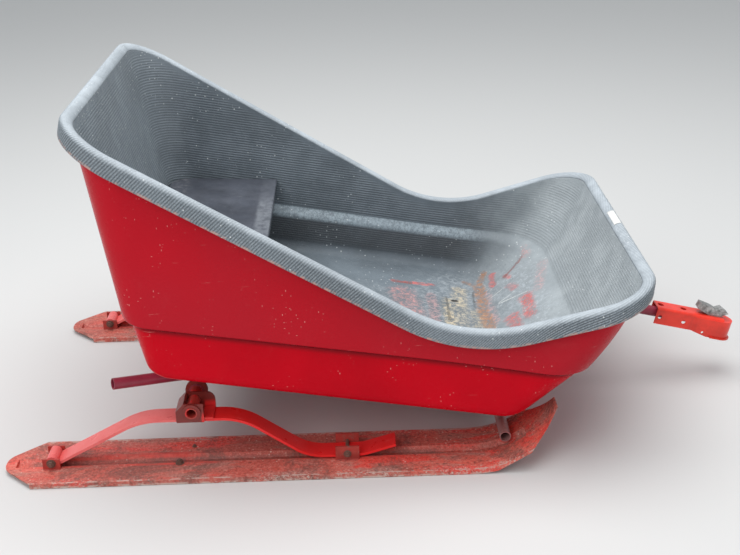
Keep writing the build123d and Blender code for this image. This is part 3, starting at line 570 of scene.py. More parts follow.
def bow_values(inset):
    """Middle loop of the upper wall."""
    rim = rim_values(-RIM_FOOT - inset, 0)
    step = set_in(STEP, inset)
    low = step.copy()
    low[1] = low[3] = low[5] = STEP[1]
    middle = low + BOW_SHARE * (rim - low)
    middle[2] = rim[2]
    middle[4] += BOW_BULGE
    middle[6] = step[6]
    middle[7] = BOW_BACK_CORNER + BOW_SHARE * (RIM_CORNER_R - BOW_BACK_CORNER)
    middle[8] = BOW_FRONT_CORNER
    middle[9] = BOW_REACH
    return middle


def bend(start, pull, end, parts):
    """Loops on a curve from start to end that is drawn towards pull."""
    shares = [i / parts for i in range(parts + 1)]
    return [start * (1 - t) ** 2 + pull * 2 * t * (1 - t) + end * t ** 2 for t in shares]


def bilge_rows(inset):
    """Loops from the floor round to the low wall."""
    floor, middle, top = (set_in(v, inset) for v in (FLOOR, BILGE_MIDDLE, BILGE_TOP))
    return bend(floor, middle * 2 - (floor + top) / 2, top, 7)


def step_rows(inset):
    """Loops over the ledge, from the top of the low wall to the foot of the upper one."""
    if inset == 0:
        low_wall, step, cuts = LOW_WALL, STEP, (0.05, 0.25, 0.35, 0.02)
    else:
        low_wall, step = LEDGE_LIP + LEDGE_INSET * inset, STEP + LEDGE_INSET * inset
        cuts = (0.12, 0.36, 0.25, 0.035)
    corners = (set_in(BILGE_TOP, inset), low_wall, step, bow_values(inset))
    rows = []
    for before, at, after, *cut in zip(corners, corners[1:], corners[2:], cuts[::2], cuts[1::2]):
        rows += bend(at + (before - at) * cut[0], at, at + (after - at) * cut[1], 4)
    return rows


def upper_rows(inset, rim, parts):
    """Loops of the upper wall, on a smooth curve through its foot, its middle and the rim."""
    foot, middle = step_rows(inset)[-1], bow_values(inset)
    rows = []
    for t in [i / parts for i in range(parts + 1)]:
        a = (t - BOW_SHARE) * (t - 1) / BOW_SHARE
        b = t * (t - 1) / (BOW_SHARE * (BOW_SHARE - 1))
        c = t * (t - BOW_SHARE) / (1 - BOW_SHARE)
        rows.append(foot * a + middle * b + rim * c)
    return rows


def round_corner(before, at, after, parts, cut=None, radius=None):
    """Points of the arc that rounds a corner, from its start to its end."""
    d_in = (at - before) / np.linalg.norm(at - before)
    d_out = (after - at) / np.linalg.norm(after - at)
    turn = math.acos(min(1.0, max(-1.0, float(d_in @ d_out))))
    if turn < 1e-4:
        return np.linspace(at - d_in * (cut or 1.0), at + d_out * (cut or 1.0), parts + 1)
    if cut is None:
        cut = radius * math.tan(turn / 2)
    else:
        radius = cut / math.tan(turn / 2)
    inward = (d_out - d_in) / np.linalg.norm(d_out - d_in)
    centre = at + inward * radius / math.cos(turn / 2)
    first, last = at - d_in * cut - centre, at + d_out * cut - centre
    shares = np.linspace(0, 1, parts + 1)[:, None]
    return centre + (first * np.sin((1 - shares) * turn) + last * np.sin(shares * turn)) / math.sin(turn)


def half_loop(values, counts):
    """Points of one loop's left half, from the middle of its back to the middle of its front.

    Counts are the parts of its back run, back corner, side, front corner and front run.
    """
    xb, zb, xd, zd, xf, zf, w, rb, rf, reach, waist = values
    back, back_corner, side, front_corner, front = counts
    at_back, dip, at_front = np.array([xb, w, zb]), np.array([xd, w - waist, zd]), np.array([xf, w, zf])
    behind, ahead = np.array([xb, -w, zb]), np.array([xf, -w, zf])
    first = round_corner(behind, at_back, dip, back_corner, radius=rb)
    last = round_corner(dip, at_front, ahead, front_corner, radius=rf)
    bent = np.vstack([first[-1:], round_corner(at_back, dip, at_front, 40, cut=reach), last[:1]])
    x = np.linspace(first[-1, 0], last[0, 0], side + 1)
    along = np.stack([x, np.interp(x, bent[:, 0], bent[:, 1]), np.interp(x, bent[:, 0], bent[:, 2])], axis=1)
    start = np.linspace((xb, 0, zb), first[0], back + 1)
    end = np.linspace(last[-1], (xf, 0, zf), front + 1)
    return np.vstack([start[:-1], first[:-1], along[:-1], last[:-1], end])


def loop_points(values, counts):
    left = half_loop(values, counts)
    return np.vstack([left, left[-2:0:-1] * (1, -1, 1)])


def shrunk(values, counts, shares):
    """Rows that draw a floor loop in towards its middle line."""
    core = values.copy()
    core[0] = values[0] + values[6] * 0.9
    core[4] = values[4] - values[6] * 0.9
    core[2] = (core[0] + core[4]) / 2
    core[6:11] = 12.0, 6.0, 6.0, 1.0, 0.0
    return [loop_points(values + (core - values) * s, counts) for s in shares]


def smooth_step(x):
    x = np.clip(x, 0.0, 1.0)
    return x * x * (3 - 2 * x)


class Builder:
    """Vertices and faces of one piece, with values at each vertex for its ribs and wear."""

    def __init__(self):
        self.points, self.faces, self.last = [], [], None
        self.phase, self.fade, self.rise = [], [], []

    def row(self, points, phase=0.0, fade=0.0, rise=0.0):
        first, n = len(self.points), len(points)
        self.points.extend(map(tuple, points))
        for kept, values in ((self.phase, phase), (self.fade, fade), (self.rise, rise)):
            kept.extend([values] * n if np.isscalar(values) else list(values))
        return list(range(first, first + n))

    def join(self, low, high):
        """Quads between two closed rows."""
        self.faces += zip(low, low[1:] + low[:1], high[1:] + high[:1], high)

    def ring(self, points, *values, **more):
        """A closed row that is joined to the one before."""
        row = self.row(points, *values, **more)
        if self.last:
            self.join(self.last, row)
        self.last = row
        return row

    def cap(self, row, centre_points):
        """Closes a row with shrinking rows and a fan at its middle."""
        self.last = row
        for points in centre_points:
            row = self.ring(points)
        middle = self.row([np.mean([self.points[i] for i in row], axis=0)])[0]
        for i, j in zip(row, row[1:] + row[:1]):
            self.faces.append((i, j, middle))

    def mesh(self, name):
        mesh = bpy.data.meshes.new(name)
        mesh.from_pydata([tuple(p) for p in tipped(self.points)], [], self.faces)
        for key, values in (("phase", self.phase), ("fade", self.fade), ("rise", self.rise)):
            mesh.attributes.new(key, "FLOAT", "POINT").data.foreach_set("value", np.array(values, np.float32))
        work = bmesh.new()
        work.from_mesh(mesh)
        bmesh.ops.recalc_face_normals(work, faces=work.faces)
        work.to_mesh(mesh)
        work.free()
        mesh.shade_smooth()
        return mesh


# Geometry node trees

class Tree(Nodes):
    """A geometry node tree with named inputs."""

    def __init__(self, name, *inputs):
        self.tree = bpy.data.node_groups.new(name, "GeometryNodeTree")
        face = self.tree.interface
        face.new_socket(name="Geometry", in_out="INPUT", socket_type="NodeSocketGeometry")
        for key, kind, default in (*inputs, ("Material", "NodeSocketMaterial", None)):
            socket = face.new_socket(name=key, in_out="INPUT", socket_type=kind)
            if default is not None:
                socket.default_value = default
        face.new_socket(name="Geometry", in_out="OUTPUT", socket_type="NodeSocketGeometry")
        self.start = self.tree.nodes.new("NodeGroupInput")
        self.end = self.tree.nodes.new("NodeGroupOutput")

    def given(self, name):
        return self.start.outputs[name]

    def read(self, name, kind="FLOAT"):
        return self.add("GeometryNodeInputNamedAttribute", {"Name": name}, data_type=kind).outputs["Attribute"]

    def finish(self, geometry):
        real = self.add("GeometryNodeRealizeInstances", {"Geometry": geometry}).outputs[0]
        inputs = {"Geometry": real, "Material": self.given("Material")}
        coloured = self.add("GeometryNodeSetMaterial", inputs)
        self.tree.links.new(coloured.outputs[0], self.end.inputs[0])
        return self.tree


def rib_tree():
    """Ribs on a surface: each vertex moves along its normal by a wave of its phase."""
    t = Tree("rib_relief", ("Height", "NodeSocketFloat", 0.001), ("Wander", "NodeSocketFloat", 0.3),
             ("Seed", "NodeSocketFloat", 7.0))

    def noise(scale, detail):
        inputs = {"W": t.given("Seed"), "Scale": scale, "Detail": detail}
        return t.add("ShaderNodeTexNoise", inputs, noise_dimensions="4D").outputs["Fac"]

    strays = t.times(t.math("SUBTRACT", noise(9.0, 2.0), 0.5), t.given("Wander"))
    wave = t.math("SINE", t.times(t.math("ADD", t.read("phase"), strays), 2 * math.pi))
    uneven = t.math("ADD", t.times(noise(60.0, 3.0), 0.9), 0.55)
    relief = t.times(wave, t.read("fade"), uneven)
    move = t.times(relief, t.times(t.given("Height"), 0.5))
    shift = t.scaled(t.add("GeometryNodeInputNormal").outputs[0], move)
    store = {"Geometry": t.given("Geometry"), "Name": "relief",
             "Value": t.math("ADD", t.times(relief, 0.5), 0.5)}
    kept = t.add("GeometryNodeStoreNamedAttribute", store, data_type="FLOAT", domain="POINT").outputs[0]
    return t.finish(t.add("GeometryNodeSetPosition", {"Geometry": kept, "Offset": shift}).outputs[0])


def nut_tree():
    """Hexagon nuts on washers, each with the end of its stud, one at each point."""
    t = Tree("nuts", ("Radius", "NodeSocketFloat", 0.008), ("Height", "NodeSocketFloat", 0.006))
    join = t.add("GeometryNodeJoinGeometry")
    # Washer, nut, crown and stud: corners, and radius, height and lift as shares of the nut's
    for corners, wide, tall, lift in ((28, 1.35, 0.25, 0.125), (6, 1.0, 1.0, 0.75), (24, 0.82, 0.2, 1.3),
                                      (16, 0.5, 1.0, 1.4)):
        drum = {"Vertices": corners, "Radius": t.times(t.given("Radius"), wide),
                "Depth": t.times(t.given("Height"), tall)}
        mesh = t.add("GeometryNodeMeshCylinder", drum, fill_type="TRIANGLE_FAN").outputs["Mesh"]
        up = t.add("ShaderNodeCombineXYZ", {"Z": t.times(t.given("Height"), lift)}).outputs[0]
        part = t.add("GeometryNodeTransform", {"Geometry": mesh, "Translation": up}).outputs[0]
        t.tree.links.new(part, join.inputs[0])
    turn = t.add("FunctionNodeEulerToRotation", {"Euler": t.read("turn", "FLOAT_VECTOR")}).outputs[0]
    places = {"Points": t.given("Geometry"), "Instance": join.outputs[0], "Rotation": turn,
              "Scale": t.read("size")}
    return t.finish(t.add("GeometryNodeInstanceOnPoints", places).outputs[0])


def bead_tree():
    """Weld beads: overlapping drops of metal along each line of the mesh."""
    t = Tree("weld_beads", ("Width", "NodeSocketFloat", 0.005), ("Seed", "NodeSocketInt", 7))
    line = t.add("GeometryNodeMeshToCurve", {"Mesh": t.given("Geometry")}).outputs[0]
    spaced = {"Curve": line, "Length": t.times(t.given("Width"), 0.42)}
    points = t.add("GeometryNodeResampleCurve", spaced, mode="LENGTH").outputs[0]
    ball = {"Radius": t.times(t.given("Width"), 0.5), "Subdivisions": 1}
    drop = t.add("GeometryNodeMeshIcoSphere", ball).outputs["Mesh"]
    seed = t.given("Seed")
    size = t.add("FunctionNodeRandomValue", {2: 0.82, 3: 1.18, "Seed": seed}, data_type="FLOAT").outputs[1]
    turn = t.add("FunctionNodeRandomValue", {0: (0, 0, 0), 1: (6.28, 6.28, 6.28), "Seed": seed},
                 data_type="FLOAT_VECTOR").outputs[0]
    spin = t.add("FunctionNodeEulerToRotation", {"Euler": turn}).outputs[0]
    places = {"Points": points, "Instance": drop, "Rotation": spin, "Scale": size}
    return t.finish(t.add("GeometryNodeInstanceOnPoints", places).outputs[0])


def link(obj):
    bpy.context.scene.collection.objects.link(obj)
    return obj


def run_tree(name, mesh, tree, values):
    """Runs a tree on a mesh and returns the plain mesh object that it makes."""
    source = link(bpy.data.objects.new(name + "_source", mesh))
    modifier = source.modifiers.new("tree", "NODES")
    modifier.node_group = tree
    for item in tree.interface.items_tree:
        if item.item_type == "SOCKET" and item.in_out == "INPUT" and item.name in values:
            modifier[item.identifier] = values[item.name]
    source.update_tag()
    bpy.context.view_layer.update()
    graph = bpy.context.evaluated_depsgraph_get()
    made = bpy.data.meshes.new_from_object(source.evaluated_get(graph), preserve_all_data_layers=True,
                                           depsgraph=graph)
    if not made.polygons:
        raise RuntimeError(name + " came out empty")
    made.name = name
    bpy.data.objects.remove(source)
    return link(bpy.data.objects.new(name, made))


def nuts_on(name, places, sizes, material):
    """Nuts at places given as point, outward direction and scale."""
    mesh = bpy.data.meshes.new(name)
    mesh.from_pydata([tuple(point) for point, _, _ in places], [], [])
    turns = [Vector(out).to_track_quat("Z", "Y").to_euler() for _, out, _ in places]
    mesh.attributes.new("turn", "FLOAT_VECTOR", "POINT").data.foreach_set(
        "vector", np.array([tuple(turn) for turn in turns], np.float32).ravel())
    mesh.attributes.new("size", "FLOAT", "POINT").data.foreach_set(
        "value", np.array([scale for _, _, scale in places], np.float32))
    return run_tree(name, mesh, nut_tree(), {"Radius": sizes.nut_radius, "Height": sizes.nut_height,
                                             "Material": material})


def beads_on(name, lines, sizes, material):
    """Weld beads along lines of points."""
    points, edges = [], []
    for line in lines:
        edges += [(len(points) + i, len(points) + i + 1) for i in range(len(line) - 1)]
        points += [tuple(p) for p in line]
    mesh = bpy.data.meshes.new(name)
    mesh.from_pydata(points, edges, [])
    piece = run_tree(name, mesh, bead_tree(), {"Width": sizes.weld_bead, "Seed": sizes.seed,
                                               "Material": material})
    piece.data.shade_smooth()
    return piece


def ring_line(centre, along, radius, parts=28):
    """Points of a circle about an axis."""
    axis = Vector(along).normalized()
    first = axis.orthogonal().normalized()
    second = axis.cross(first)
    turns = [2 * math.pi * i / parts for i in range(parts + 1)]
    return [Vector(centre) + (first * math.cos(a) + second * math.sin(a)) * radius for a in turns]


# The tub

def moulding_mesh(sizes):
    """The red moulding as one closed skin: outside, hem, and the inside under the coat."""
    wall, hem = sizes.shell_wall * 1000, sizes.hem_depth * 1000
    core = (sizes.roll_radius - sizes.coat_wall) * 1000
    slot = core - wall
    counts = (8, 14, 44, 16, 8)
    rows = bilge_rows(0.0) + step_rows(0.0) + upper_rows(0.0, rim_values(-slot, 0), 12)[1:]
    rows += [roll_values(slot, a) for a in (150, 120, 90, 60, 30, 0)]
    rows += [hem_values(slot, hem, share) for share in (0.33, 0.67, 1.0)]
    rows += [hem_values(core, hem, share) for share in (1.0, 0.67, 0.33)]
    rows += [roll_values(core, a) for a in range(0, 151, 15)]
    inside = upper_rows(wall, roll_values(core, ROLL_START), 12)[1:-1]
    rows += reversed(bilge_rows(wall) + step_rows(wall) + inside)
    b = Builder()
    rings = [b.ring(loop_points(values, counts)) for values in rows]
    shares = (0.25, 0.5, 0.75, 1.0)
    b.cap(rings[0], shrunk(FLOOR, counts, shares))
    b.cap(rings[-1], shrunk(set_in(FLOOR, wall), counts, shares))
    return b.mesh("tub_moulding")


def liner_mesh(sizes):
    """The coat's inside face, with a row of vertices each quarter rib, and its plain back."""
    back = sizes.shell_wall * 1000 + COAT_GAP
    both = (sizes.shell_wall + sizes.coat_wall) * 1000
    spacing = sizes.rib_pitch * 1000 / 4
    top_edge = roll_values(sizes.roll_radius * 1000, ROLL_START)
    counts = (14, 14, 56, 16, 12)
    b = Builder()
    bilge, ledge = bilge_rows(both), step_rows(both)
    floor, *_ = [b.ring(loop_points(values, counts)) for values in bilge]

    # Low wall, whose ribs fade out towards the front
    foot, head = bilge[-1][1], ledge[0][1]
    low, high = loop_points(bilge[-1], counts), loop_points(ledge[0], counts)
    level = math.ceil((foot + 0.5) / spacing)
    while level * spacing < head - 0.5:
        z = level * spacing
        points = low + (high - low) * ((z - low[:, 2:3]) / (high[:, 2:3] - low[:, 2:3]))
        fade = min(1.0, (z - foot) / LOW_FOOT_FADE, (head - z) / LOW_HEAD_FADE)
        b.ring(points, level / 4, fade * (1 - 0.9 * smooth_step((points[:, 0] - BOW_FADE_X) / BOW_FADE)))
        level += 1
    # The ledge rows carry the painted sheen of sky light in their rise values
    for i, values in enumerate(ledge):
        points = loop_points(values, counts)
        edge = 0.6 if i in (0, len(ledge) - 1) else 1.0
        b.ring(points, rise=edge * smooth_step((SHEEN_END_X - points[:, 0]) / SHEEN_FADE))

    # Upper wall, in columns whose vertices keep to the ribs' levels, so some are longer than others
    profile = np.array([loop_points(v, counts) for v in upper_rows(both, top_edge, 40)])
    columns = []
    for j in range(profile.shape[1]):
        line = profile[:, j]
        base, top = line[0, 2], line[-1, 2]
        levels = np.arange(math.ceil((base + 0.5) / spacing), math.floor((top - 0.8) / spacing) + 1)
        z = levels * spacing
        points = np.stack([np.interp(z, line[:, 2], line[:, k]) for k in (0, 1, 2)], axis=1)
        fade = smooth_step((z - base) / UPPER_FOOT_FADE) * smooth_step((top - z) / UPPER_HEAD_FADE)
        columns.append([b.last[j]] + b.row(points, levels / 4, fade))
    crest = b.row(profile[-1])
    pairs = zip(columns, columns[1:] + columns[:1], crest, crest[1:] + crest[:1])
    for left, right, over_left, over_right in pairs:
        shared = min(len(left), len(right))
        b.faces += zip(left[:shared], right[:shared], right[1:shared], left[1:shared])
        b.faces += [(p, right[-1], q) for p, q in zip(left[shared - 1:], left[shared:])]
        b.faces += [(p, q, left[-1]) for p, q in zip(right[shared - 1:], right[shared:])]
        b.faces.append((left[-1], right[-1], over_right, over_left))

    b.last = crest
    for values in reversed(bilge_rows(back) + step_rows(back) + upper_rows(back, top_edge, 10)[1:-1]):
        under = b.ring(loop_points(values, counts))
    shares = (0.12, 0.3, 0.5, 0.7, 0.85, 1.0)
    b.cap(floor, shrunk(set_in(FLOOR, both), counts, shares))
    b.cap(under, shrunk(set_in(FLOOR, back), counts, shares))
    return b.mesh("coat_liner")


def roll_mesh(sizes):
    """The coat over the rolled rim, with a fine grid of points for its slanting ribs."""
    radius, grid = sizes.roll_radius * 1000, sizes.roll_grid * 1000
    core = radius - sizes.coat_wall * 1000 + COAT_GAP
    hem = sizes.hem_depth * 1000
    rough = (20, 20, 100, 20, 20)
    steps = np.linalg.norm(np.diff(half_loop(rim_values(radius, 0), rough), axis=0), axis=1)
    ends = np.cumsum((0, *rough))
    counts = [max(4, round(steps[a:b].sum() / grid)) for a, b in zip(ends, ends[1:])]

    # The ribs run steeply at the back and lie almost along the rim at the front
    half = half_loop(rim_values(radius, 0), counts)
    ahead = smooth_step((half[:, 0] - FRONT_RIBS_X) / FRONT_RIBS_BLEND)
    beside = smooth_step((half[:, 0] - SIDE_RIBS_X) / SIDE_RIBS_BLEND)
    along_rate = ALONG_RATE - ALONG_DROP * ahead
    up_rate = UP_RATE + UP_SIDE_GAIN * beside + UP_FRONT_GAIN * ahead
    lengths = np.linalg.norm(np.diff(half, axis=0), axis=1)
    travelled = np.concatenate([[0.0], np.cumsum(lengths * (along_rate[1:] + along_rate[:-1]) / 2)])
    travelled, up_rate = (np.concatenate([v, v[-2:0:-1]]) for v in (travelled, up_rate))

    b = Builder()
    hem_parts = math.ceil(hem / grid)
    roll_parts = math.ceil(math.radians(ROLL_START) * radius / grid)
    outer = []
    for i in range(hem_parts):
        share = 1 - i / hem_parts
        outer.append((hem_values(radius, hem, share), hem * (1 - share), min(1.0, i / 2), -share))
    for i in range(roll_parts + 1):
        angle = ROLL_START * i / roll_parts
        fade = 0.12 + 0.88 * float(smooth_step((100.0 - angle) / 65))
        fade *= float(smooth_step((ROLL_START - 5 - angle) / 25))
        turn = math.radians(angle)
        outer.append((roll_values(radius, angle), hem + turn * radius, fade, math.sin(turn)))
    first, *_ = [b.ring(loop_points(values, counts), up_rate * height - travelled, fade, rise)
                 for values, height, fade, rise in outer]
    for values in [roll_values(core, a) for a in (150, 100, 50, 0)] + [hem_values(core, hem, 1.0)]:
        b.ring(loop_points(values, counts), rise=-1.0)
    b.join(b.last, first)
    return b.mesh("coat_roll")


def label_mesh(sizes):
    """Thin blank label that wraps over the roll at the middle of the bow."""
    radius = sizes.roll_radius * 1000
    angles, across = np.linspace(*LABEL_ANGLES, 13), np.linspace(*LABEL_ACROSS, 9)
    b = Builder()
    layers, edges = [], []
    for lift in LABEL_LIFTS:
        layer = []
        for angle in angles:
            values = roll_values(radius + lift, angle)
            layer.append(b.row([(values[4], y, values[5]) for y in across]))
        layers.append(layer)
        edges.append([row[0] for row in layer] + layer[-1][1:] + [row[-1] for row in layer[-2::-1]]
                     + layer[0][-2:0:-1])
    top, bottom = layers
    for i in range(len(angles) - 1):
        for j in range(len(across) - 1):
            b.faces.append((top[i][j], top[i][j + 1], top[i + 1][j + 1], top[i + 1][j]))
            b.faces.append((bottom[i][j], bottom[i + 1][j], bottom[i + 1][j + 1], bottom[i][j + 1]))
    b.join(*edges)
    return b.mesh("rim_label")


class SLED_OT_tub(bpy.types.Operator):
    """Builds the red moulding of the tub"""

    bl_idname = "sled.tub"
    bl_label = "Tub moulding"

    def execute(self, context):
        colours, sizes = context.scene.sled_colours, context.scene.sled_sizes
        tub = link(bpy.data.objects.new("tub_moulding", moulding_mesh(sizes)))
        tub.data.materials.append(tub_paint(colours))
        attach(tub, TUB)
        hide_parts("tub_hull")
        return {"FINISHED"}


class SLED_OT_coat(bpy.types.Operator):
    """Builds the ribbed grey coat inside the tub and over its rim"""

    bl_idname = "sled.coat"
    bl_label = "Ribbed coat"

    def execute(self, context):
        colours, sizes = context.scene.sled_colours, context.scene.sled_sizes
        tree = rib_tree()
        pieces = (("coat_liner", liner_mesh(sizes), sizes.rib_height, False),
                  ("coat_roll", roll_mesh(sizes), sizes.roll_rib_height, True))
        for name, mesh, height, rim in pieces:
            finish = coat_finish(colours, name + "_finish", rim)
            piece = run_tree(name, mesh, tree, {"Height": height, "Wander": sizes.rib_wander,
                                                "Seed": float(sizes.seed), "Material": finish})
            piece.data.shade_smooth()
            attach(piece, TUB)
            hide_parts("tub_coat")
        return {"FINISHED"}


class SLED_OT_label(bpy.types.Operator):
    """Lays the blank label over the front of the rim"""

    bl_idname = "sled.label"
    bl_label = "Blank label"

    def execute(self, context):
        label = link(bpy.data.objects.new("rim_label", label_mesh(context.scene.sled_sizes)))
        label.data.materials.append(label_finish(context.scene.sled_colours))
        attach(label, TUB)
        return {"FINISHED"}


def dress(node, material):
    """Gives a CAD node its finish."""
    obj = frame["nodes"][node]
    obj.data.materials.clear()
    obj.data.materials.append(material)


class SLED_OT_seat(bpy.types.Operator):
    """Finishes the seat across the back of the tub"""

    bl_idname = "sled.seat"
    bl_label = "Seat"

    def execute(self, context):
        dress("seat_board", seat_finish(context.scene.sled_colours))
        return {"FINISHED"}


def frame_weld_lines():
    """Lines of the frame's welds: axle collars, legs on the axle, legs on the tongue, front cross tube."""
    slant = math.tan(LEG_ANGLE)
    lines = []
    for side in (1, -1):
        for y in (COLLAR_Y - COLLAR_HALF, COLLAR_Y + COLLAR_HALF):
            lines.append(ring_line(AXLE + Vector((0, side * y / 1000, 0)), (0, 1, 0), AXLE_RADIUS))
        leg_y = side * LEG_MEET_X * slant
        level = [[(x + shift, leg_y - shift * side * slant, 15.0) for shift in (-10, -4, 4, 10)]
                 for x in (-7.5, 7.5)]
        level.append([(LEG_MEET_X + 12 - 46 * t, side * (13.0 + 8 * t), FRAME_LEVEL + 11 * math.sin(math.pi * t))
                      for t in (0, 0.25, 0.5, 0.75, 1)])
        level.append([(FRONT_TUBE_X + TUBE_RADIUS * math.cos(a), side * 13.2,
                       FRAME_LEVEL - FRONT_TUBE_DROP + TUBE_RADIUS * math.sin(a))
                      for a in (0.5, 1.0, 1.57, 2.1, 2.6)])
        lines += [tipped(line) for line in level]
    return lines


class SLED_OT_frame(bpy.types.Operator):
    """Paints the tube frame and its axle, and welds them"""

    bl_idname = "sled.frame"
    bl_label = "Tube frame"

    def execute(self, context):
        colours, sizes = context.scene.sled_colours, context.scene.sled_sizes
        dirt = colours.dirt
        tubes = worn_paint("frame_paint", colours.frame, dirt, 0.35, 0.25, 0.36)
        for node in ("tongue_tube", "frame_leg_left", "frame_leg_right", "floor_bearer_back",
                     "floor_bearer_front"):
            dress(node, tubes)
        dress("axle_tube", worn_paint("axle_paint", colours.axle, dirt, 0.5, 0.4, 0.4,
                                      fresh=shade(colours.spring, 0.8)))
        dress("axle_collars", worn_paint("collar_paint", shade(colours.axle, 0.55), dirt, 0.6, 0.6, 0.5))
        dress("front_cross_tube", worn_paint("rubbed_tube", (0.36, 0.16, 0.15), (0.48, 0.33, 0.29), 0.7, 0.75,
                                             0.42, bare=(0.46, 0.38, 0.35)))
        beads = beads_on("frame_welds", frame_weld_lines(), sizes, tubes)
        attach(beads, TUB)
        return {"FINISHED"}


class SLED_OT_coupler(bpy.types.Operator):
    """Paints the coupler and plates its latch"""

    bl_idname = "sled.coupler"
    bl_label = "Ball coupler"

    def execute(self, context):
        colours = context.scene.sled_colours
        dress("coupler_body", worn_paint("coupler_paint", colours.coupler, colours.dirt, 0.25, 0.15, 0.3,
                                         grain=34.0))
        dress("coupler_latch", plated_steel("latch_zinc", colours.steel))
        return {"FINISHED"}


RUSTY_STEEL = (0.16, 0.08, 0.06)


class SLED_OT_skis(bpy.types.Operator):
    """Paints and soils the skis, and sets the studs that stand on them"""

    bl_idname = "sled.skis"
    bl_label = "Skis"

    def execute(self, context):
        colours, sizes = context.scene.sled_colours, context.scene.sled_sizes
        paint = ski_paint(colours)
        rusty = worn_paint("stud_rust", RUSTY_STEEL, colours.dirt, 0.5, 0.5, 0.5)
        for side, sign in SIDES.items():
            dress("ski_" + side, paint)
            places = [((AXLE.x + ahead, sign * (SKI_Y + out), SKI_TOP), (0, 0, 1), scale)
                      for ahead, out, scale in SKI_STUDS]
            studs = nuts_on("ski_studs_" + side, places, sizes, rusty)
            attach(studs, side + "_ski_unit")
        return {"FINISHED"}


def pin_nut_places(side, sign):
    """Nuts on both ends of a ski's two pins."""
    places = []
    for node, scale in (("back_pin_", 0.95), ("keeper_pin_", 0.8)):
        low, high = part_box(node + side)
        middle = (low + high) / 2
        for out in (1, -1):
            places.append(((middle.x, sign * SKI_Y + out * CHEEK, middle.z), (0, out, 0), scale))
    return places


def spring_weld_lines(side):
    """Lines of the welds at the feet of a ski's brackets and saddle."""
    lines = []
    for node in ("back_bracket_", "slide_bracket_"):
        low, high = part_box(node + side)
        for y in (low.y, high.y):
            lines.append([(low.x + FOOT_INSET, y, SKI_TOP), (high.x - FOOT_INSET, y, SKI_TOP)])
    low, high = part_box("saddle_" + side)
    level = low.z + SADDLE_WELD_RISE
    for y in (low.y + SADDLE_WELD_INSET, high.y - SADDLE_WELD_INSET):
        lines.append([(low.x + SADDLE_WELD_START, y, level), (low.x + SADDLE_WELD_END, y, level)])
    return lines


class SLED_OT_springs(bpy.types.Operator):
    """Paints the leaf springs, their brackets, pins, pads and saddles, with their welds and nuts"""

    bl_idname = "sled.springs"
    bl_label = "Leaf springs"

    def execute(self, context):
        colours, sizes = context.scene.sled_colours, context.scene.sled_sizes
        bracket = worn_paint("bracket_paint", colours.axle, (0.17, 0.10, 0.085), 0.5, 0.5, 0.42,
                             bare=(0.42, 0.30, 0.26), grain=40.0)
        slide = worn_paint("slide_paint", colours.axle, (0.24, 0.125, 0.10), 0.6, 0.72, 0.5,
                           bare=(0.50, 0.34, 0.29), grain=52.0)
        rusty = worn_paint("pin_rust", RUSTY_STEEL, colours.dirt, 0.5, 0.5, 0.5)
        saddle = worn_paint("saddle_paint", shade(colours.axle, 0.5), (0.075, 0.032, 0.028), 0.55, 0.55, 0.36,
                            bare=(0.32, 0.16, 0.13), grain=44.0, fresh=shade(colours.spring, 0.9),
                            fresh_from=AXLE.x + 0.026)
        finishes = {"leaf_spring": spring_paint(colours), "back_bracket": bracket, "slide_bracket": slide,
                    "back_pin": rusty, "keeper_pin": rusty, "saddle": saddle,
                    "wear_pad": worn_paint("pad_finish", (0.1, 0.09, 0.09), colours.dirt, 0.3, 0.5, 0.6)}
        for side, sign in SIDES.items():
            for node, material in finishes.items():
                dress(node + "_" + side, material)
            body = side + "_ski_unit"
            nuts = pin_nut_places(side, sign)
            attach(nuts_on("spring_nuts_" + side, nuts, sizes, rusty), body)
            beads = beads_on("spring_welds_" + side, spring_weld_lines(side), sizes, bracket)
            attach(beads, body)
        return {"FINISHED"}


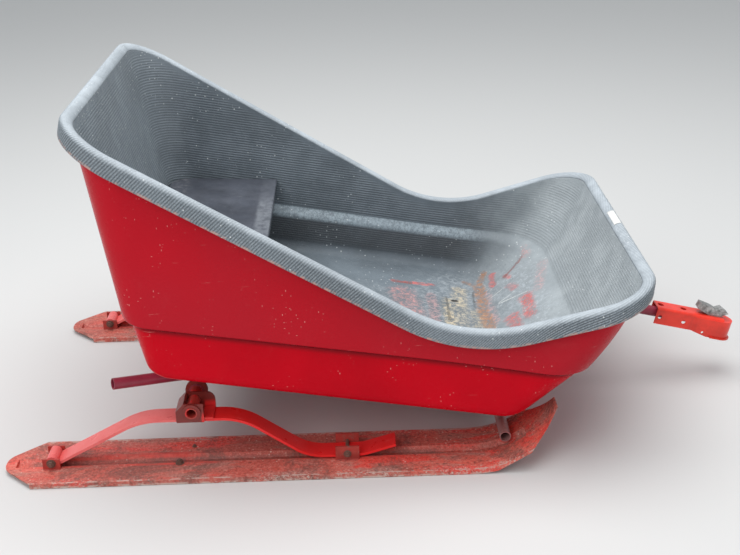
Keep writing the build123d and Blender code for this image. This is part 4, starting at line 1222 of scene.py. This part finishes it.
class SLED_OT_stage(bpy.types.Operator):
    """Sets the pale floor, the soft lights and the camera"""

    bl_idname = "sled.stage"
    bl_label = "Studio"

    def execute(self, context):
        scene = context.scene
        scene.view_settings.view_transform = "Standard"
        corners = [(x * FLOOR_REACH, y * FLOOR_REACH, 0) for x, y in ((-1, -1), (1, -1), (1, 1), (-1, 1))]
        mesh = bpy.data.meshes.new("studio_floor")
        mesh.from_pydata(corners, [], [(0, 1, 2, 3)])
        floor = link(bpy.data.objects.new("studio_floor", mesh))
        f = Finish("studio_floor")
        f.set("Base Color", scene.sled_colours.floor)
        f.set("Roughness", 0.85)
        mesh.materials.append(f.material)

        world = bpy.data.worlds.new("studio_world")
        scene.world = world
        world.use_nodes = True
        sky = world.node_tree.nodes["Background"]
        sky.inputs["Color"].default_value = SKY_COLOUR
        sky.inputs["Strength"].default_value = SKY_STRENGTH
        for name, place, size, power in LAMPS:
            data = bpy.data.lights.new(name, "AREA")
            data.shape = "SQUARE"
            data.size = size
            data.energy = power
            lamp = link(bpy.data.objects.new(name, data))
            lamp.location = place
            lamp.rotation_euler = (LAMP_TARGET - Vector(place)).to_track_quat("-Z", "Y").to_euler()

        camera = bpy.data.cameras.new("camera")
        camera.sensor_width = SENSOR_WIDTH
        camera.lens = CAMERA_LENS
        camera.clip_end = 60
        holder = link(bpy.data.objects.new("camera", camera))
        right, forward = Vector(CAMERA_RIGHT).normalized(), Vector(CAMERA_FORWARD).normalized()
        turn = Matrix((right, right.cross(forward), -forward)).transposed()
        holder.matrix_world = Matrix.Translation(AXLE + CAMERA_OFFSET) @ turn.to_4x4()
        scene.camera = holder
        return {"FINISHED"}


class SLED_PT_panel(bpy.types.Panel):
    """Lists the sled's pieces, sizes and colours"""

    bl_idname = "SLED_PT_panel"
    bl_label = "Passenger Sled"
    bl_space_type = "VIEW_3D"
    bl_region_type = "UI"
    bl_category = "Sled"

    def draw(self, context):
        layout = self.layout
        for operator in OPERATORS:
            layout.operator(operator.bl_idname)
        for group in (context.scene.sled_sizes, context.scene.sled_colours):
            for key in group.__annotations__:
                layout.prop(group, key)


OPERATORS = (SLED_OT_stage, SLED_OT_tub, SLED_OT_coat, SLED_OT_label, SLED_OT_seat, SLED_OT_frame,
             SLED_OT_coupler, SLED_OT_skis, SLED_OT_springs)
CLASSES = (SledSizes, SledColours, *OPERATORS, SLED_PT_panel)


def register():
    for cls in CLASSES:
        bpy.utils.register_class(cls)
    bpy.types.Scene.sled_sizes = PointerProperty(type=SledSizes)
    bpy.types.Scene.sled_colours = PointerProperty(type=SledColours)


def unregister():
    del bpy.types.Scene.sled_sizes
    del bpy.types.Scene.sled_colours
    for cls in reversed(CLASSES):
        bpy.utils.unregister_class(cls)


def main():
    register()
    bpy.ops.sled.stage()
    bpy.ops.sled.tub()
    bpy.ops.sled.coat()
    bpy.ops.sled.label()
    bpy.ops.sled.seat()
    bpy.ops.sled.frame()
    bpy.ops.sled.coupler()
    bpy.ops.sled.skis()
    bpy.ops.sled.springs()


if __name__ == "__main__":
    main()
